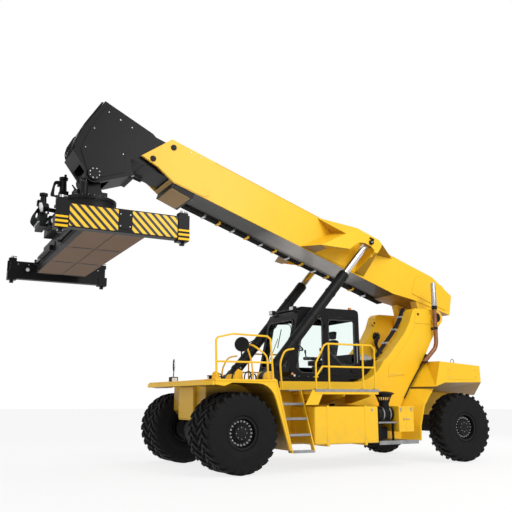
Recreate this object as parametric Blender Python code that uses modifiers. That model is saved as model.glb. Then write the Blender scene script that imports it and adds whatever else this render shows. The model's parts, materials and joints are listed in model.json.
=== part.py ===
"""Reach stacker: a container handler on four wheel stations, with a telescopic boom and a spreader.

Metres, +Z up. The machine faces -X, and +Y is its right-hand side. The axle lines, the boom and the
spreader are set out from the middle of the drive axle on the ground, and the root empty then moves
the whole machine so that the middle of its footprint is the origin.
"""

import bpy
import bmesh
from math import cos, pi, radians, sin, tan
from mathutils import Matrix, Vector

GAP = 0.0003            # between pieces that are bolted or welded face to face
PIN_GAP = 0.0006        # round a pin or beside a wear pad
CLEAR = 0.01            # round pieces that move past each other
RIGHT, LEFT = 1, -1

# Wheels and axles
WHEELBASE = 6.2
TYRE_RADIUS = 0.825
TYRE_WIDTH = 0.50
RIM_RADIUS = 0.335
RIM_WALL = 0.045
TWIN_PITCH = 0.55       # between the middles of two twin tyres
FRONT_TWIN_Y = 1.545    # from the centre plane to the middle of a twin pair
REAR_WHEEL_Y = 1.57
KINGPIN_Y = 1.14
WHEEL_SIDES = 36
AXLE_TUBE = 0.20
HUB_RADIUS = 0.19

# Frame
FRAME_INNER = 0.60
FRAME_OUTER = 0.95
FRAME_BOTTOM = 0.50
DECK_Z = 1.90
NOSE_X = -0.36
NOSE_TOP = 1.78
AXLE_NOTCH_TOP = 1.08
ENGINE_BAY_X = 3.95
REAR_BOX_HALF = 0.42
REAR_BOX_BOTTOM = 1.10
REAR_BOX_TOP = 1.56
TAIL_X = 7.37

# Boom, set out along the boom (u, forward) and square to it (v, up) from its foot pivot
BOOM_ANGLE = radians(19.0)
PIVOT = Vector((6.20, 0.0, 3.60))
PIVOT_PIN = 0.13
BOOM_HALF = 0.54
BOOM_BOTTOM = 0.25
BOOM_TOP = 1.22
BOOM_WALL = 0.04
INNER_HALF = 0.44
INNER_BOTTOM = 0.34
INNER_TOP = 1.12
INNER_TAIL_U = 1.00
INNER_NOSE_U = 8.55
RAM_EYE_UV = (2.65, 0.95)
SHOULDER_HALF = 1.175
SHOULDER_SKIN = 0.035
HEAD_PIN_UV = (9.46, -0.37)
HEAD_HALF = 0.45

# Lift cylinders
RAM_FOOT = Vector((1.09, 0.0, 1.96))
RAM_Y = 1.0
RAM_BARREL = 0.13
RAM_BORE = 0.10
RAM_ROD = 0.09
RAM_BARREL_LENGTH = 3.38
RAM_EYE = 0.15
RAM_PIN = 0.07
RAM_ROD_TAIL = 1.22

# Spreader
SPREADER_HALF_X = 0.60
SPREADER_HALF_Y = 2.55
SPREADER_Z = (4.56, 4.96)
ARM_WIDTH = 0.46
ARM_Z = (4.645, 4.875)
TUNNEL_WALL = 0.04
END_BEAM_Y = (2.83, 3.02)
END_BEAM_Z = (4.43, 4.87)
END_BEAM_HALF_X = 1.19
CASTING_X = 2.259 / 2   # between twistlocks, across a standard container
CASTING_Y = 5.853 / 2   # between twistlocks, along a standard container
RING_RADIUS = 0.60
RING_Z = (5.36, 5.72)
CARRIAGE_HALF = (0.78, 0.75)
CARRIAGE_Z = 5.04

# Cab
CAB_HALF = 0.74
CAB_WALL = 0.05
CAB_SIDE = [(1.97, 1.976), (1.80, 2.12), (2.10, 3.50), (3.86, 3.57), (3.88, 1.976)]
DOOR_X = (2.86, 3.80)
DOOR_Z = (2.04, 3.48)
GLASS = 0.012

# Side equipment
DECK_HALF = 2.03
TANK_X = (1.76, 3.45)
TANK_Y = 1.95
TANK_Z = (0.54, 1.34)
PLATFORM_X = (1.74, 3.45)
PLATFORM_Z = (1.64, 1.70)
STEP_X = (1.14, 1.72)
STEPS = ((1.41, 1.61), (1.10, 1.75), (0.77, 1.89), (0.44, 2.03))    # (height, outer edge) of each tread
RAIL_TUBE = 0.022

YELLOW = ("yellow_paint", (0.93, 0.56, 0.02), 0.38, 0.0)
BLACK = ("black_paint", (0.018, 0.018, 0.02), 0.42, 0.0)
RUBBER = ("tyre_rubber", (0.022, 0.022, 0.024), 0.85, 0.0)
STEEL = ("bright_rod", (0.62, 0.62, 0.63), 0.18, 1.0)
GREY = ("grey_tread", (0.30, 0.31, 0.33), 0.6, 0.3)
CLEAR_GLASS = ("tinted_glass", (0.62, 0.80, 0.76), 0.05, 0.0)
COPPER = ("heated_pipe", (0.35, 0.17, 0.10), 0.4, 0.8)
SEAT_CLOTH = ("seat_trim", (0.03, 0.03, 0.035), 0.8, 0.0)


def clear_scene():
    for thing in list(bpy.data.objects):
        bpy.data.objects.remove(thing, do_unlink=True)


def new_collection(name):
    group = bpy.data.collections.new(name)
    bpy.context.scene.collection.children.link(group)
    return group


def material(finish):
    """A painted, cast or moulded finish, made once and shared."""
    name, colour, roughness, metallic = finish
    found = bpy.data.materials.get(name)
    if found:
        return found
    made = bpy.data.materials.new(name)
    made.use_nodes = True
    shader = made.node_tree.nodes["Principled BSDF"]
    shader.inputs["Base Color"].default_value = (*colour, 1.0)
    shader.inputs["Roughness"].default_value = roughness
    shader.inputs["Metallic"].default_value = metallic
    made.diffuse_color = (*colour, 1.0)
    return made


def anchor(name, parent=None, location=(0, 0, 0), tilt=0.0):
    """An empty on a joint's axis; tilt turns it about Y."""
    empty = bpy.data.objects.new(name, None)
    empty.parent = parent
    empty.location = location
    empty.rotation_euler = (0, tilt, 0)
    parts.objects.link(empty)
    return empty


# Shapes: each returns a mesh in its parent's coordinates

def mesh_of(shape, name="shape"):
    made = bpy.data.meshes.new(name)
    bmesh.ops.recalc_face_normals(shape, faces=shape.faces)
    shape.to_mesh(made)
    shape.free()
    return made


def box(low, high):
    low, high = Vector(low), Vector(high)
    size = high - low
    place = Matrix.Translation((low + high) / 2) @ Matrix.Diagonal((size.x, size.y, size.z, 1))
    shape = bmesh.new()
    bmesh.ops.create_cube(shape, size=1.0, matrix=place)
    return mesh_of(shape)


def rod(start, end, radius, sides=24, far_radius=None):
    """A round bar, or a cone when far_radius is given."""
    start, end = Vector(start), Vector(end)
    along = end - start
    turn = Vector((0, 0, 1)).rotation_difference(along).to_matrix().to_4x4()
    shape = bmesh.new()
    bmesh.ops.create_cone(
        shape, cap_ends=True, segments=sides, radius1=radius,
        radius2=radius if far_radius is None else far_radius, depth=along.length,
        matrix=Matrix.Translation((start + end) / 2) @ turn)
    return mesh_of(shape)


def from_curve(curve):
    """The closed mesh of a curve, with its caps welded on."""
    holder = bpy.data.objects.new("curve", curve)
    bpy.context.scene.collection.objects.link(holder)
    graph = bpy.context.evaluated_depsgraph_get()
    made = bpy.data.meshes.new_from_object(holder.evaluated_get(graph))
    bpy.data.objects.remove(holder, do_unlink=True)
    shape = bmesh.new()
    shape.from_mesh(made)
    bmesh.ops.remove_doubles(shape, verts=shape.verts, dist=0.00001)
    bmesh.ops.recalc_face_normals(shape, faces=shape.faces)
    shape.to_mesh(made)
    shape.free()
    return made


def extruded(outline, thickness):
    """A flat outline in XY, filled and extruded to half its thickness each way."""
    curve = bpy.data.curves.new("outline", "CURVE")
    curve.dimensions = "2D"
    curve.fill_mode = "BOTH"
    curve.extrude = thickness / 2
    spline = curve.splines.new("POLY")
    spline.points.add(len(outline) - 1)
    for point, (a, b) in zip(spline.points, outline):
        point.co = (a, b, 0, 1)
    spline.use_cyclic_u = True
    return from_curve(curve)


def upright(outline, y_from, y_to):
    """An outline given as (x, z), extruded across the machine."""
    made = extruded(outline, abs(y_to - y_from))
    made.transform(Matrix.Translation((0, (y_from + y_to) / 2, 0)) @ Matrix.Rotation(pi / 2, 4, "X"))
    return made


def level(outline, z_from, z_to):
    """An outline given as (x, y), extruded upwards."""
    made = extruded(outline, z_to - z_from)
    made.transform(Matrix.Translation((0, 0, (z_from + z_to) / 2)))
    return made


def along_boom(outline, y_from, y_to):
    """An outline given as (u, v) from the boom's foot pivot, in the boom's own frame."""
    return upright([(-u, v) for u, v in outline], y_from, y_to)


def pipe(points, radius, facets=2):
    """A tube along points, with filled ends."""
    curve = bpy.data.curves.new("route", "CURVE")
    curve.dimensions = "3D"
    curve.bevel_depth = radius
    curve.bevel_resolution = facets
    curve.use_fill_caps = True
    spline = curve.splines.new("POLY")
    spline.points.add(len(points) - 1)
    for point, place in zip(spline.points, points):
        point.co = (*place, 1)
    return from_curve(curve)


def loft(stations):
    """A closed body through like outlines of (x, z), each at its own y."""
    shape = bmesh.new()
    rings = [[shape.verts.new((x, y, z)) for x, z in outline] for y, outline in stations]
    for near, far in zip(rings, rings[1:]):
        for i in range(len(near)):
            j = (i + 1) % len(near)
            shape.faces.new((near[i], near[j], far[j], far[i]))
    shape.faces.new(rings[0])
    shape.faces.new(reversed(rings[-1]))
    return mesh_of(shape)


def arc(centre, radius, start, end, steps):
    """Points (a, b) on an arc, with angles in degrees."""
    turns = [radians(start + (end - start) * i / steps) for i in range(steps + 1)]
    return [(centre[0] + radius * cos(t), centre[1] + radius * sin(t)) for t in turns]


def mirrored(mesh):
    """The same shape on the other side of the centre plane."""
    made = mesh.copy()
    made.transform(Matrix.Scale(-1, 4, (0, 1, 0)))
    made.flip_normals()
    return made


def to_side(meshes, side):
    """Shapes given for the right-hand side, moved to the side that is asked for."""
    return [mirrored(m) for m in meshes] if side == LEFT else list(meshes)


# Nodes

def node(name, mesh, finish, parent, smooth=False):
    mesh.name = name
    mesh.materials.clear()
    mesh.materials.append(material(finish))
    made = bpy.data.objects.new(name, mesh)
    made.parent = parent
    parts.objects.link(made)
    if smooth:
        mesh.shade_smooth()
        mesh.set_sharp_from_angle(angle=radians(35))
    return made


def helper(mesh, parent, name):
    made = bpy.data.objects.new(name, mesh)
    made.parent = parent
    made.hide_render = True
    made.display_type = "WIRE"
    cutters.objects.link(made)
    return made


def built(name, joined, finish, parent, cut=(), smooth=False):
    """One closed body: the first shape, with the others joined to it and then the cuts taken out."""
    made = node(name, joined[0], finish, parent, smooth)
    for i, mesh in enumerate(joined[1:]):
        add_boolean(made, "UNION", helper(mesh, parent, f"{name}.join{i}"))
    for i, mesh in enumerate(cut):
        add_boolean(made, "DIFFERENCE", helper(mesh, parent, f"{name}.cut{i}"))
    return made


def add_boolean(target, operation, tool):
    modifier = target.modifiers.new(operation.lower(), "BOOLEAN")
    modifier.operation = operation
    modifier.solver = "EXACT"
    modifier.object = tool


def turned(name, profile, finish, parent, sides=WHEEL_SIDES):
    """A body turned about Y from a profile of (radius, y), with a flat of its polygon at the bottom."""
    widen = 1 / cos(pi / sides)
    shape = bmesh.new()
    points = [shape.verts.new((radius * widen, y, 0)) for radius, y in profile]
    for a, b in zip(points, points[1:]):
        shape.edges.new((a, b))
    if profile[0][0] > 0:
        shape.edges.new((points[-1], points[0]))
    mesh = bpy.data.meshes.new(name)
    shape.to_mesh(mesh)
    shape.free()
    made = node(name, mesh, finish, parent)
    made.rotation_euler = (0, pi / 2 + pi / sides, 0)
    screw = made.modifiers.new("turn", "SCREW")
    screw.axis = "Y"
    screw.steps = sides
    screw.render_steps = sides
    screw.use_merge_vertices = True
    screw.merge_threshold = 0.00001
    screw.use_smooth_shade = True
    return made


# Frame and axles

def side_frame_outline():
    """One long side plate: the nose, the notch over the drive axle, the belly and the boom's leg."""
    bottom = [(NOSE_X, 1.25), (NOSE_X + 0.14, AXLE_NOTCH_TOP), (0.40, AXLE_NOTCH_TOP), (0.55, FRAME_BOTTOM)]
    rear = [(4.90, FRAME_BOTTOM), (4.92, 1.35), (5.23, 1.84), (5.75, 2.55), (6.06, 3.07)]
    head = arc((PIVOT.x, PIVOT.z), 0.21, -40, 90, 7)
    front = [(5.52, 3.81), (5.43, 3.74), (5.31, 3.43), (5.13, 3.14), (4.56, 2.52)]
    sweep = arc((3.55, DECK_Z + 1), 1.0, -28, -90, 6)
    foot = [(1.46, DECK_Z), (1.36, 1.72), (0.88, 1.72), (0.86, DECK_Z), (-0.61, DECK_Z), (-0.61, NOSE_TOP), (NOSE_X, NOSE_TOP)]
    return bottom + rear + head + front + sweep + foot


def mudguard():
    """The curved panel in front of a rear wheel, from the frame out to its free edge."""
    inner = [(4.905, 0.52), (4.92, 0.87), (5.0, 1.35), (5.24, 1.75)]
    outer = [(5.11, 0.52), (5.12, 0.87), (5.26, 1.35), (5.56, 1.75)]
    thick = 0.04
    stations = [
        (y, line + [(x - thick, z) for x, z in reversed(line)])
        for y, line in ((FRAME_OUTER - 0.06, inner), (1.45, outer))]
    return loft(stations)


def side_frame(side, parent):
    foot = (RAM_FOOT.x, RAM_FOOT.z)
    lug = arc(foot, 0.15, 0, 180, 8) + [(foot[0] - 0.15, 1.66), (foot[0] + 0.24, 1.66)]
    outer_lug = (RAM_Y + 0.115, RAM_Y + 0.20)
    inner_lug = (RAM_Y - 0.20, RAM_Y - 0.115)
    solids = [
        upright(side_frame_outline(), FRAME_INNER, FRAME_OUTER),
        upright(lug, *inner_lug),
        upright(lug, *outer_lug),
        box((foot[0] - 0.15, FRAME_OUTER - 0.10, 1.56), (foot[0] + 0.24, outer_lug[1], 1.72)),
        rod((foot[0], inner_lug[0] + 0.01, foot[1]), (foot[0], outer_lug[1] + 0.03, foot[1]), RAM_PIN),
        mudguard(),
        rod((PIVOT.x, FRAME_OUTER - 0.05, PIVOT.z), (PIVOT.x, FRAME_OUTER + 0.03, PIVOT.z), 0.19),
    ]
    bore = rod((PIVOT.x, FRAME_INNER - 0.1, PIVOT.z), (PIVOT.x, FRAME_OUTER + 0.2, PIVOT.z), bore_for(PIVOT_PIN))
    name = "side_frame_right" if side == RIGHT else "side_frame_left"
    built(name, to_side(solids, side), YELLOW, parent, cut=to_side([bore], side))


def bore_for(radius, sides=24):
    """The vertex radius of a faceted bore that a pin of the same number of sides turns in."""
    return (radius + PIN_GAP / 3) / cos(pi / sides)


def main_frame(parent):
    half = FRAME_INNER - GAP
    solids = [
        box((NOSE_X - 0.06, -0.45, 1.04), (NOSE_X + 0.02, 0.45, NOSE_TOP - 0.01)),
        box((NOSE_X, -half, 1.25), (0.62, half, NOSE_TOP)),
        box((0.55, -half, 0.55), (ENGINE_BAY_X, half, 1.15)),
        box((0.55, -half, 1.00), (0.75, half, NOSE_TOP)),
        box((1.60, -half, 1.10), (ENGINE_BAY_X, half, DECK_Z)),
        box((ENGINE_BAY_X - 0.10, -half, 0.55), (5.10, half, 0.95)),
        box((4.98, -REAR_BOX_HALF, 0.60), (5.10, REAR_BOX_HALF, 1.40)),
        box((4.98, -REAR_BOX_HALF, REAR_BOX_BOTTOM), (TAIL_X - 0.07, REAR_BOX_HALF, REAR_BOX_TOP)),
    ]
    built("main_frame", solids, YELLOW, parent)


def drive_axle(parent):
    end = FRONT_TWIN_Y - 0.045 - GAP
    centre = TYRE_RADIUS
    solids = [rod((0, -end, centre), (0, end, centre), AXLE_TUBE)]
    solids.append(rod((0, -0.26, centre), (0, 0.26, centre), 0.36))
    for side in (LEFT, RIGHT):
        middle = side * (FRAME_INNER + FRAME_OUTER) / 2
        solids.append(box((-0.22, middle - 0.15, centre - 0.1), (0.22, middle + 0.15, AXLE_NOTCH_TOP - GAP)))
    built("drive_axle", solids, BLACK, parent)


def steer_axle(parent):
    """A beam that narrows to a kingpin boss at each end, hung under the rear box."""
    x = WHEELBASE
    z = TYRE_RADIUS
    half = [(x - 0.10, KINGPIN_Y), (x - 0.22, KINGPIN_Y - 0.40), (x - 0.22, 0), (x + 0.22, 0),
            (x + 0.22, KINGPIN_Y - 0.40), (x + 0.10, KINGPIN_Y)]
    beam = [level([(a, side * b) for a, b in half], z - 0.13, z + 0.13) for side in (LEFT, RIGHT)]
    joint = box((x - 0.22, -0.2, z - 0.13), (x + 0.22, 0.2, z + 0.13))
    seat = box((x - 0.30, -0.30, z), (x + 0.30, 0.30, REAR_BOX_BOTTOM - GAP))
    bosses = [rod((x, s * KINGPIN_Y, z - 0.15), (x, s * KINGPIN_Y, z + 0.15), 0.12) for s in (LEFT, RIGHT)]
    pins = [rod((x, s * KINGPIN_Y, z - 0.24), (x, s * KINGPIN_Y, z + 0.24), 0.06) for s in (LEFT, RIGHT)]
    built("steer_axle", [joint] + beam + [seat] + bosses + pins, BLACK, parent)


def knuckle(side, parent):
    """Two ears on the kingpin, the plate that joins them and the spindle that carries the hub."""
    y = KINGPIN_Y
    plate_y = (y + 0.15, y + 0.24)
    ear = [(-0.11, plate_y[1])] + arc((0, y), 0.11, 180, 360, 8) + [(0.11, plate_y[1])]
    solids = [
        box((-0.13, plate_y[0], -0.235), (0.13, plate_y[1], 0.235)),
        level(ear, 0.17, 0.225),
        level(ear, -0.225, -0.17),
        rod((0, plate_y[1] - 0.02, 0), (0, REAR_WHEEL_Y - 0.02 - GAP, 0), 0.16),
    ]
    holes = [rod((0, y, z), (0, y, z + 0.1), bore_for(0.06)) for z in (0.15, -0.25)]
    name = "knuckle_right" if side == RIGHT else "knuckle_left"
    made = built(name, to_side(solids, side), BLACK, parent, cut=to_side(holes, side))
    return made


# Wheels

def tyre_profile(middle):
    """Half of a lugged tyre's section, mirrored about its middle plane."""
    half = [(RIM_RADIUS + GAP, 0.19), (0.37, 0.235), (0.56, 0.25), (0.73, 0.245), (0.805, 0.215), (TYRE_RADIUS, 0.16)]
    scale = TYRE_WIDTH / 0.50
    return [(r, middle + y * scale) for r, y in half] + [(r, middle - y * scale) for r, y in reversed(half)]


def rim_profile(side, low, high, disc, face):
    """A rim barrel from low to high, its disc, and the hub's face on the outside."""
    inner = RIM_RADIUS - RIM_WALL
    points = [(0, face), (HUB_RADIUS, face), (HUB_RADIUS, disc + 0.10), (inner, disc + 0.10), (inner, high),
              (RIM_RADIUS, high), (RIM_RADIUS, low), (inner, low), (inner, disc), (0, disc)]
    return [(r, side * y) for r, y in points[::side]]


def front_wheel(side, root):
    tag = "right" if side == RIGHT else "left"
    hub = anchor(f"wheel_front_{tag}_axis", root, (0, 0, TYRE_RADIUS))
    inner = FRONT_TWIN_Y - TWIN_PITCH / 2
    outer = FRONT_TWIN_Y + TWIN_PITCH / 2
    disc = FRONT_TWIN_Y - 0.045
    turned(f"rim_front_{tag}", rim_profile(side, inner - 0.21, outer + 0.21, disc, outer + 0.13), BLACK, hub)
    turned(f"tyre_front_{tag}_inner", tyre_profile(side * inner), RUBBER, hub)
    turned(f"tyre_front_{tag}_outer", tyre_profile(side * outer), RUBBER, hub)


def rear_wheel(side, root):
    tag = "right" if side == RIGHT else "left"
    kingpin = anchor(f"steer_{tag}_axis", root, (WHEELBASE, 0, TYRE_RADIUS))
    knuckle(side, kingpin)
    disc = REAR_WHEEL_Y - 0.02
    profile = rim_profile(side, REAR_WHEEL_Y - 0.22, REAR_WHEEL_Y + 0.22, disc, REAR_WHEEL_Y + 0.17)
    turned(f"rim_rear_{tag}", profile, BLACK, kingpin)
    turned(f"tyre_rear_{tag}", tyre_profile(side * REAR_WHEEL_Y), RUBBER, kingpin)


# Bodywork

def fender(side, parent):
    outline = [(-0.62, DECK_Z), (0.78, DECK_Z), (1.14, 0.45), (1.09, 0.45), (0.76, 1.52)]
    outline += arc((0.34, 1.38), 0.44, 15, 88, 5)
    outline += [(-0.24, 1.83), (-0.42, 1.76), (-0.62, 1.79)]
    name = "fender_right" if side == RIGHT else "fender_left"
    solids = [upright(outline, FRAME_OUTER + GAP, DECK_HALF + 0.02)]
    built(name, to_side(solids, side), YELLOW, parent)


def front_tray(parent):
    """The lip along the fenders' front edges and the shelf behind it, over the frame's nose."""
    lip, back, inner = -0.62 - GAP, -0.10, FRAME_INNER - GAP
    half = [(-0.74, 0), (-0.74, 1.72), (-0.67, DECK_HALF), (lip, DECK_HALF), (lip, inner), (back, inner), (back, 0)]
    outline = half + [(x, -y) for x, y in reversed(half[1:-1])]
    built("front_tray", [level(outline, NOSE_TOP + GAP, 1.86)], YELLOW, parent)


def side_tank(side, parent):
    name = "side_tank_right" if side == RIGHT else "side_tank_left"
    low, high = (TANK_X[0], FRAME_OUTER + GAP, TANK_Z[0]), (TANK_X[1], TANK_Y, TANK_Z[1])
    made = built(name, to_side([box(low, high)], side), YELLOW, parent)
    bevel = made.modifiers.new("edges", "BEVEL")
    bevel.width = 0.03
    bevel.segments = 2
    bevel.limit_method = "ANGLE"


def platform(side, parent):
    """The deck beside the cab on its brackets, with the ladder that leans out below its front end."""
    inner = FRAME_OUTER + GAP
    solids = [box((1.42, inner, PLATFORM_Z[0]), (PLATFORM_X[1], 1.45, PLATFORM_Z[1])),
              box((PLATFORM_X[0], 1.40, PLATFORM_Z[0]), (PLATFORM_X[1], DECK_HALF, PLATFORM_Z[1]))]
    for x in (PLATFORM_X[0], (PLATFORM_X[0] + PLATFORM_X[1]) / 2, PLATFORM_X[1] - 0.10):
        solids.append(box((x, inner, 1.46), (x + 0.10, DECK_HALF - 0.10, PLATFORM_Z[0] + 0.02)))
    top, bottom = STEPS[0], STEPS[-1]
    slope = (bottom[1] - top[1]) / (top[0] - bottom[0])
    for x in (STEP_X[0], STEP_X[1] - 0.03):
        high, low = PLATFORM_Z[1] - 0.01, bottom[0] - 0.02
        edge = [top[1] + slope * (top[0] - z) for z in (high, low)]
        stringer = [(edge[0], high), (edge[1], low), (edge[1] - 0.14, low), (edge[0] - 0.14, high)]
        solids.append(loft([(0, stringer), (0.03, stringer)]))
        solids[-1].transform(Matrix.Translation((x, 0, 0)) @ swap_xy())
    for height, outer in STEPS:
        solids.append(box((STEP_X[0] + 0.01, outer - 0.20, height - 0.03), (STEP_X[1] - 0.01, outer, height)))
    name = "platform_right" if side == RIGHT else "platform_left"
    built(name, to_side(solids, side), GREY, parent)


def swap_xy():
    """Turns an outline that was given across Y so that it is given across X."""
    return Matrix(((0, 1, 0, 0), (1, 0, 0, 0), (0, 0, 1, 0), (0, 0, 0, 1)))


def rails(name, side, runs, parent):
    """Handrail tubes in one upright plane, joined where they cross."""
    solids = [pipe([(x, y, z) for x, z in run], RAIL_TUBE, 1) for y, run in runs]
    feet = [(run[i], y) for y, run in runs for i in (0, -1) if run[i][1] < 2]
    solids += [box((x - 0.04, y - 0.04, z - 0.02), (x + 0.04, y + 0.04, z)) for (x, z), y in feet]
    built(name, to_side(solids, side), YELLOW, parent)


def handrails(side, parent):
    tag = "right" if side == RIGHT else "left"
    y = DECK_HALF - 0.06
    if side == LEFT:
        foot = DECK_Z + 0.02 + GAP
        rails("front_rail", side, [
            (y, [(-0.56, foot), (-0.58, 2.68), (-0.54, 2.74), (-0.20, 2.82), (0.60, 2.80), (0.68, 2.74), (0.74, foot)]),
            (y, [(-0.57, 2.25), (0.71, 2.25)]),
        ], parent)
    foot = PLATFORM_Z[1] + 0.02 + GAP
    rails(f"side_rail_{tag}", side, [
        (y, [(1.80, foot), (1.80, 2.27), (2.02, 2.66), (2.10, 2.70), (3.30, 2.70), (3.38, 2.62), (3.38, foot)]),
        (y, [(1.80, 1.98), (1.97, 2.20), (3.38, 2.20)]),
        (y, [(2.14, foot), (2.14, 2.70)]),
        (y, [(3.05, foot), (3.05, 2.70)]),
    ], parent)


def counterweight(parent):
    """The rear hood and its ballast, wrapped round the backs of the boom's legs."""
    edge = [(5.50, 1.80), (5.67, 2.42), (6.99, 2.33), (7.01, 1.92), (5.80, 1.90)]
    middle = [(5.30, 1.80), (5.77, 2.44), (7.22, 2.37), (TAIL_X, REAR_BOX_TOP + 0.04), (6.05, 1.73)]
    shell = loft([(-1.60, edge), (-0.975, middle), (0.975, middle), (1.60, edge)])
    pad = box((5.45, -REAR_BOX_HALF, REAR_BOX_TOP + GAP), (TAIL_X - 0.10, REAR_BOX_HALF, 1.90))
    built("counterweight", [shell, pad], YELLOW, parent)


def engine(parent):
    built("engine_block", [box((4.05, -0.50, 0.95 + GAP), (4.95, 0.50, 1.84))], BLACK, parent)
    hood = [(ENGINE_BAY_X + 0.02, 1.70), (ENGINE_BAY_X + 0.02, 2.30), (4.20, 2.46), (5.20, 2.50), (5.24, 2.10), (5.18, 1.85), (4.0, 1.85)]
    built("engine_hood", [upright(hood, -FRAME_INNER + GAP, FRAME_INNER - GAP)], BLACK, parent)


def service_rack(parent):
    """The shelf behind the left tank: battery box, air cleaner shelf and grey foot plate."""
    back = -(FRAME_OUTER + GAP)
    front = back - 0.03
    solids = [
        box((3.53, front - 0.01, 0.53), (4.53, back, 1.28)),
        box((4.08, -1.90, 0.76), (4.50, front, 1.33)),
        box((3.58, -1.82, 0.80), (4.20, front, 0.99)),
        box((3.50, -1.90, 0.50), (4.63, front, 0.56)),
        box((3.51, -1.20, 0.52), (3.56, front, 0.90)),
    ]
    built("service_rack", solids, GREY, parent)


def air_cleaner(parent):
    """A canister lying along the machine with an upright pre-cleaner under a mushroom cap."""
    x, y = 3.89, -1.60
    solids = [
        rod((x - 0.27, y, 1.16), (x + 0.17, y, 1.16), 0.165),
        rod((x, y, 1.10), (x, y, 1.52), 0.12),
        rod((x, y, 1.48), (x, y, 1.60), 0.15),
        rod((x, y, 1.56), (x, y, 1.63), 0.25),
        box((x - 0.20, y - 0.12, 0.99 + GAP), (x + 0.12, y + 0.12, 1.10)),
    ]
    built("air_cleaner", solids, BLACK, parent)


def exhaust(parent):
    """The stack that climbs beside the left leg, clamped to it, from the hood's top."""
    x, y = 6.05, -(FRAME_OUTER + 0.14)
    route = [(5.66, y, 2.47), (5.72, y, 2.53), (6.00, y, 2.80), (x, y, 2.92), (x, y, 3.85)]
    solids = [
        pipe(route, 0.055),
        rod((x, y, 3.80), (x, y, 4.50), 0.066),
        box((x - 0.02, y, 3.26), (x + 0.02, -FRAME_OUTER - GAP, 3.34)),
    ]
    built("exhaust_stack", solids, COPPER, parent)


# Cab

def inset(outline, by):
    """A convex outline moved in by the same distance on every side."""
    count = len(outline)
    area = sum(outline[i - 1][0] * outline[i][1] - outline[i][0] * outline[i - 1][1] for i in range(count))
    turn = 1 if area > 0 else -1
    lines = []
    for i in range(count):
        a, b = Vector(outline[i]), Vector(outline[(i + 1) % count])
        way = (b - a).normalized()
        lines.append((a + Vector((-way.y, way.x)) * by * turn, way))
    points = []
    for i in range(count):
        (a, da), (b, db) = lines[i - 1], lines[i]
        t = (b - a).cross(db) / da.cross(db)
        points.append(tuple(a + da * t))
    return points


def cab(parent):
    floor_z = (DECK_Z + GAP, CAB_SIDE[0][1] - GAP)
    tail = FRAME_INNER - GAP
    half = [(1.97, CAB_HALF), (3.54, CAB_HALF), (3.54, tail), (3.88, tail)]
    outline = half + [(x, -y) for x, y in reversed(half)]
    built("cab_floor", [level(outline, *floor_z)], BLACK, parent)
    shell = upright(CAB_SIDE, -CAB_HALF, CAB_HALF)
    hollow = inset(CAB_SIDE, CAB_WALL)
    hollow = [(x, z + (0.3 if z > 3 else -0.3)) for x, z in hollow]
    wall = CAB_HALF + 0.1
    inside = CAB_HALF - CAB_WALL
    front_light = [(2.16, 2.10), (2.03, 2.22), (2.26, 3.40), (2.78, 3.43), (2.78, 2.10)]
    front_edge = CAB_SIDE[2][0] - CAB_SIDE[1][0]
    cuts = [
        upright(hollow, -inside, inside),
        box((DOOR_X[0], -wall, DOOR_Z[0]), (DOOR_X[1], -inside + 0.1, DOOR_Z[1])),
        upright(front_light, -wall, -inside + 0.1),
        upright(front_light, inside - 0.1, wall),
        box((DOOR_X[0] + 0.06, inside - 0.1, 2.30), (DOOR_X[1] - 0.06, wall, 3.42)),
        box((1.6, -0.62, 2.24), (2.6, 0.62, 3.38)),
        box((3.7, -0.60, 2.60), (4.1, 0.60, 3.42)),
    ]
    body = built("cab_body", [shell], BLACK, parent, cut=cuts)
    for i, mesh in enumerate(hinge_pins()):
        add_boolean(body, "UNION", helper(mesh, parent, f"cab_body.hinge{i}"))
    roof = [(2.10, 3.50 + GAP), (2.14, 3.585), (2.30, 3.64), (3.74, 3.69), (3.84, 3.65), (3.86, 3.57 + GAP)]
    built("cab_roof", [upright(roof, -CAB_HALF, CAB_HALF)], BLACK, parent)
    cab_glass(front_light, front_edge, parent)
    cab_inside(parent)


def hinge_pins():
    """Two upright pins on brackets beside the left door opening."""
    x, y = DOOR_HINGE.x, DOOR_HINGE.y
    solids = []
    for z in HINGE_HEIGHTS:
        solids.append(box((x - 0.06, y - 0.012, z - 0.05), (x + 0.012, y + 0.016, z - 0.005)))
        solids.append(box((x - 0.06, y, z - 0.05), (x - 0.01, y + 0.04, z - 0.005)))
        solids.append(rod((x, y, z - 0.02), (x, y, z + 0.08), HINGE_PIN, 12))
    return solids


def cab_glass(front_light, front_edge, parent):
    """Panes that fill their openings; each has an edge gap all round."""
    y = CAB_HALF - CAB_WALL / 2
    side_pane = inset(front_light, GAP)
    right = [upright(side_pane, y - GLASS / 2, y + GLASS / 2)]
    built("glass_side_right", right, CLEAR_GLASS, parent)
    built("glass_side_left", [mirrored(right[0].copy())], CLEAR_GLASS, parent)
    rear_x = 3.845
    built("glass_rear", [box((rear_x, -0.60 + GAP, 2.60 + GAP), (rear_x + GLASS, 0.60 - GAP, 3.42 - GAP))], CLEAR_GLASS, parent)
    lean = front_edge / (CAB_SIDE[2][1] - CAB_SIDE[1][1])
    foot = CAB_SIDE[1][0] + 0.02
    heights = (2.24 + GAP, 3.38 - GAP)
    front = [foot + lean * (z - CAB_SIDE[1][1]) for z in heights]
    pane = [(front[0], heights[0]), (front[1], heights[1]), (front[1] + GLASS, heights[1]), (front[0] + GLASS, heights[0])]
    built("glass_front", [upright(pane, -0.62 + GAP, 0.62 - GAP)], CLEAR_GLASS, parent)
    y_in = CAB_HALF - 0.03
    pane = box((DOOR_X[0] + 0.06 + GAP, y_in, 2.30 + GAP), (DOOR_X[1] - 0.06 - GAP, y_in + GLASS, 3.42 - GAP))
    built("glass_rear_right", [pane], CLEAR_GLASS, parent)


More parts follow.
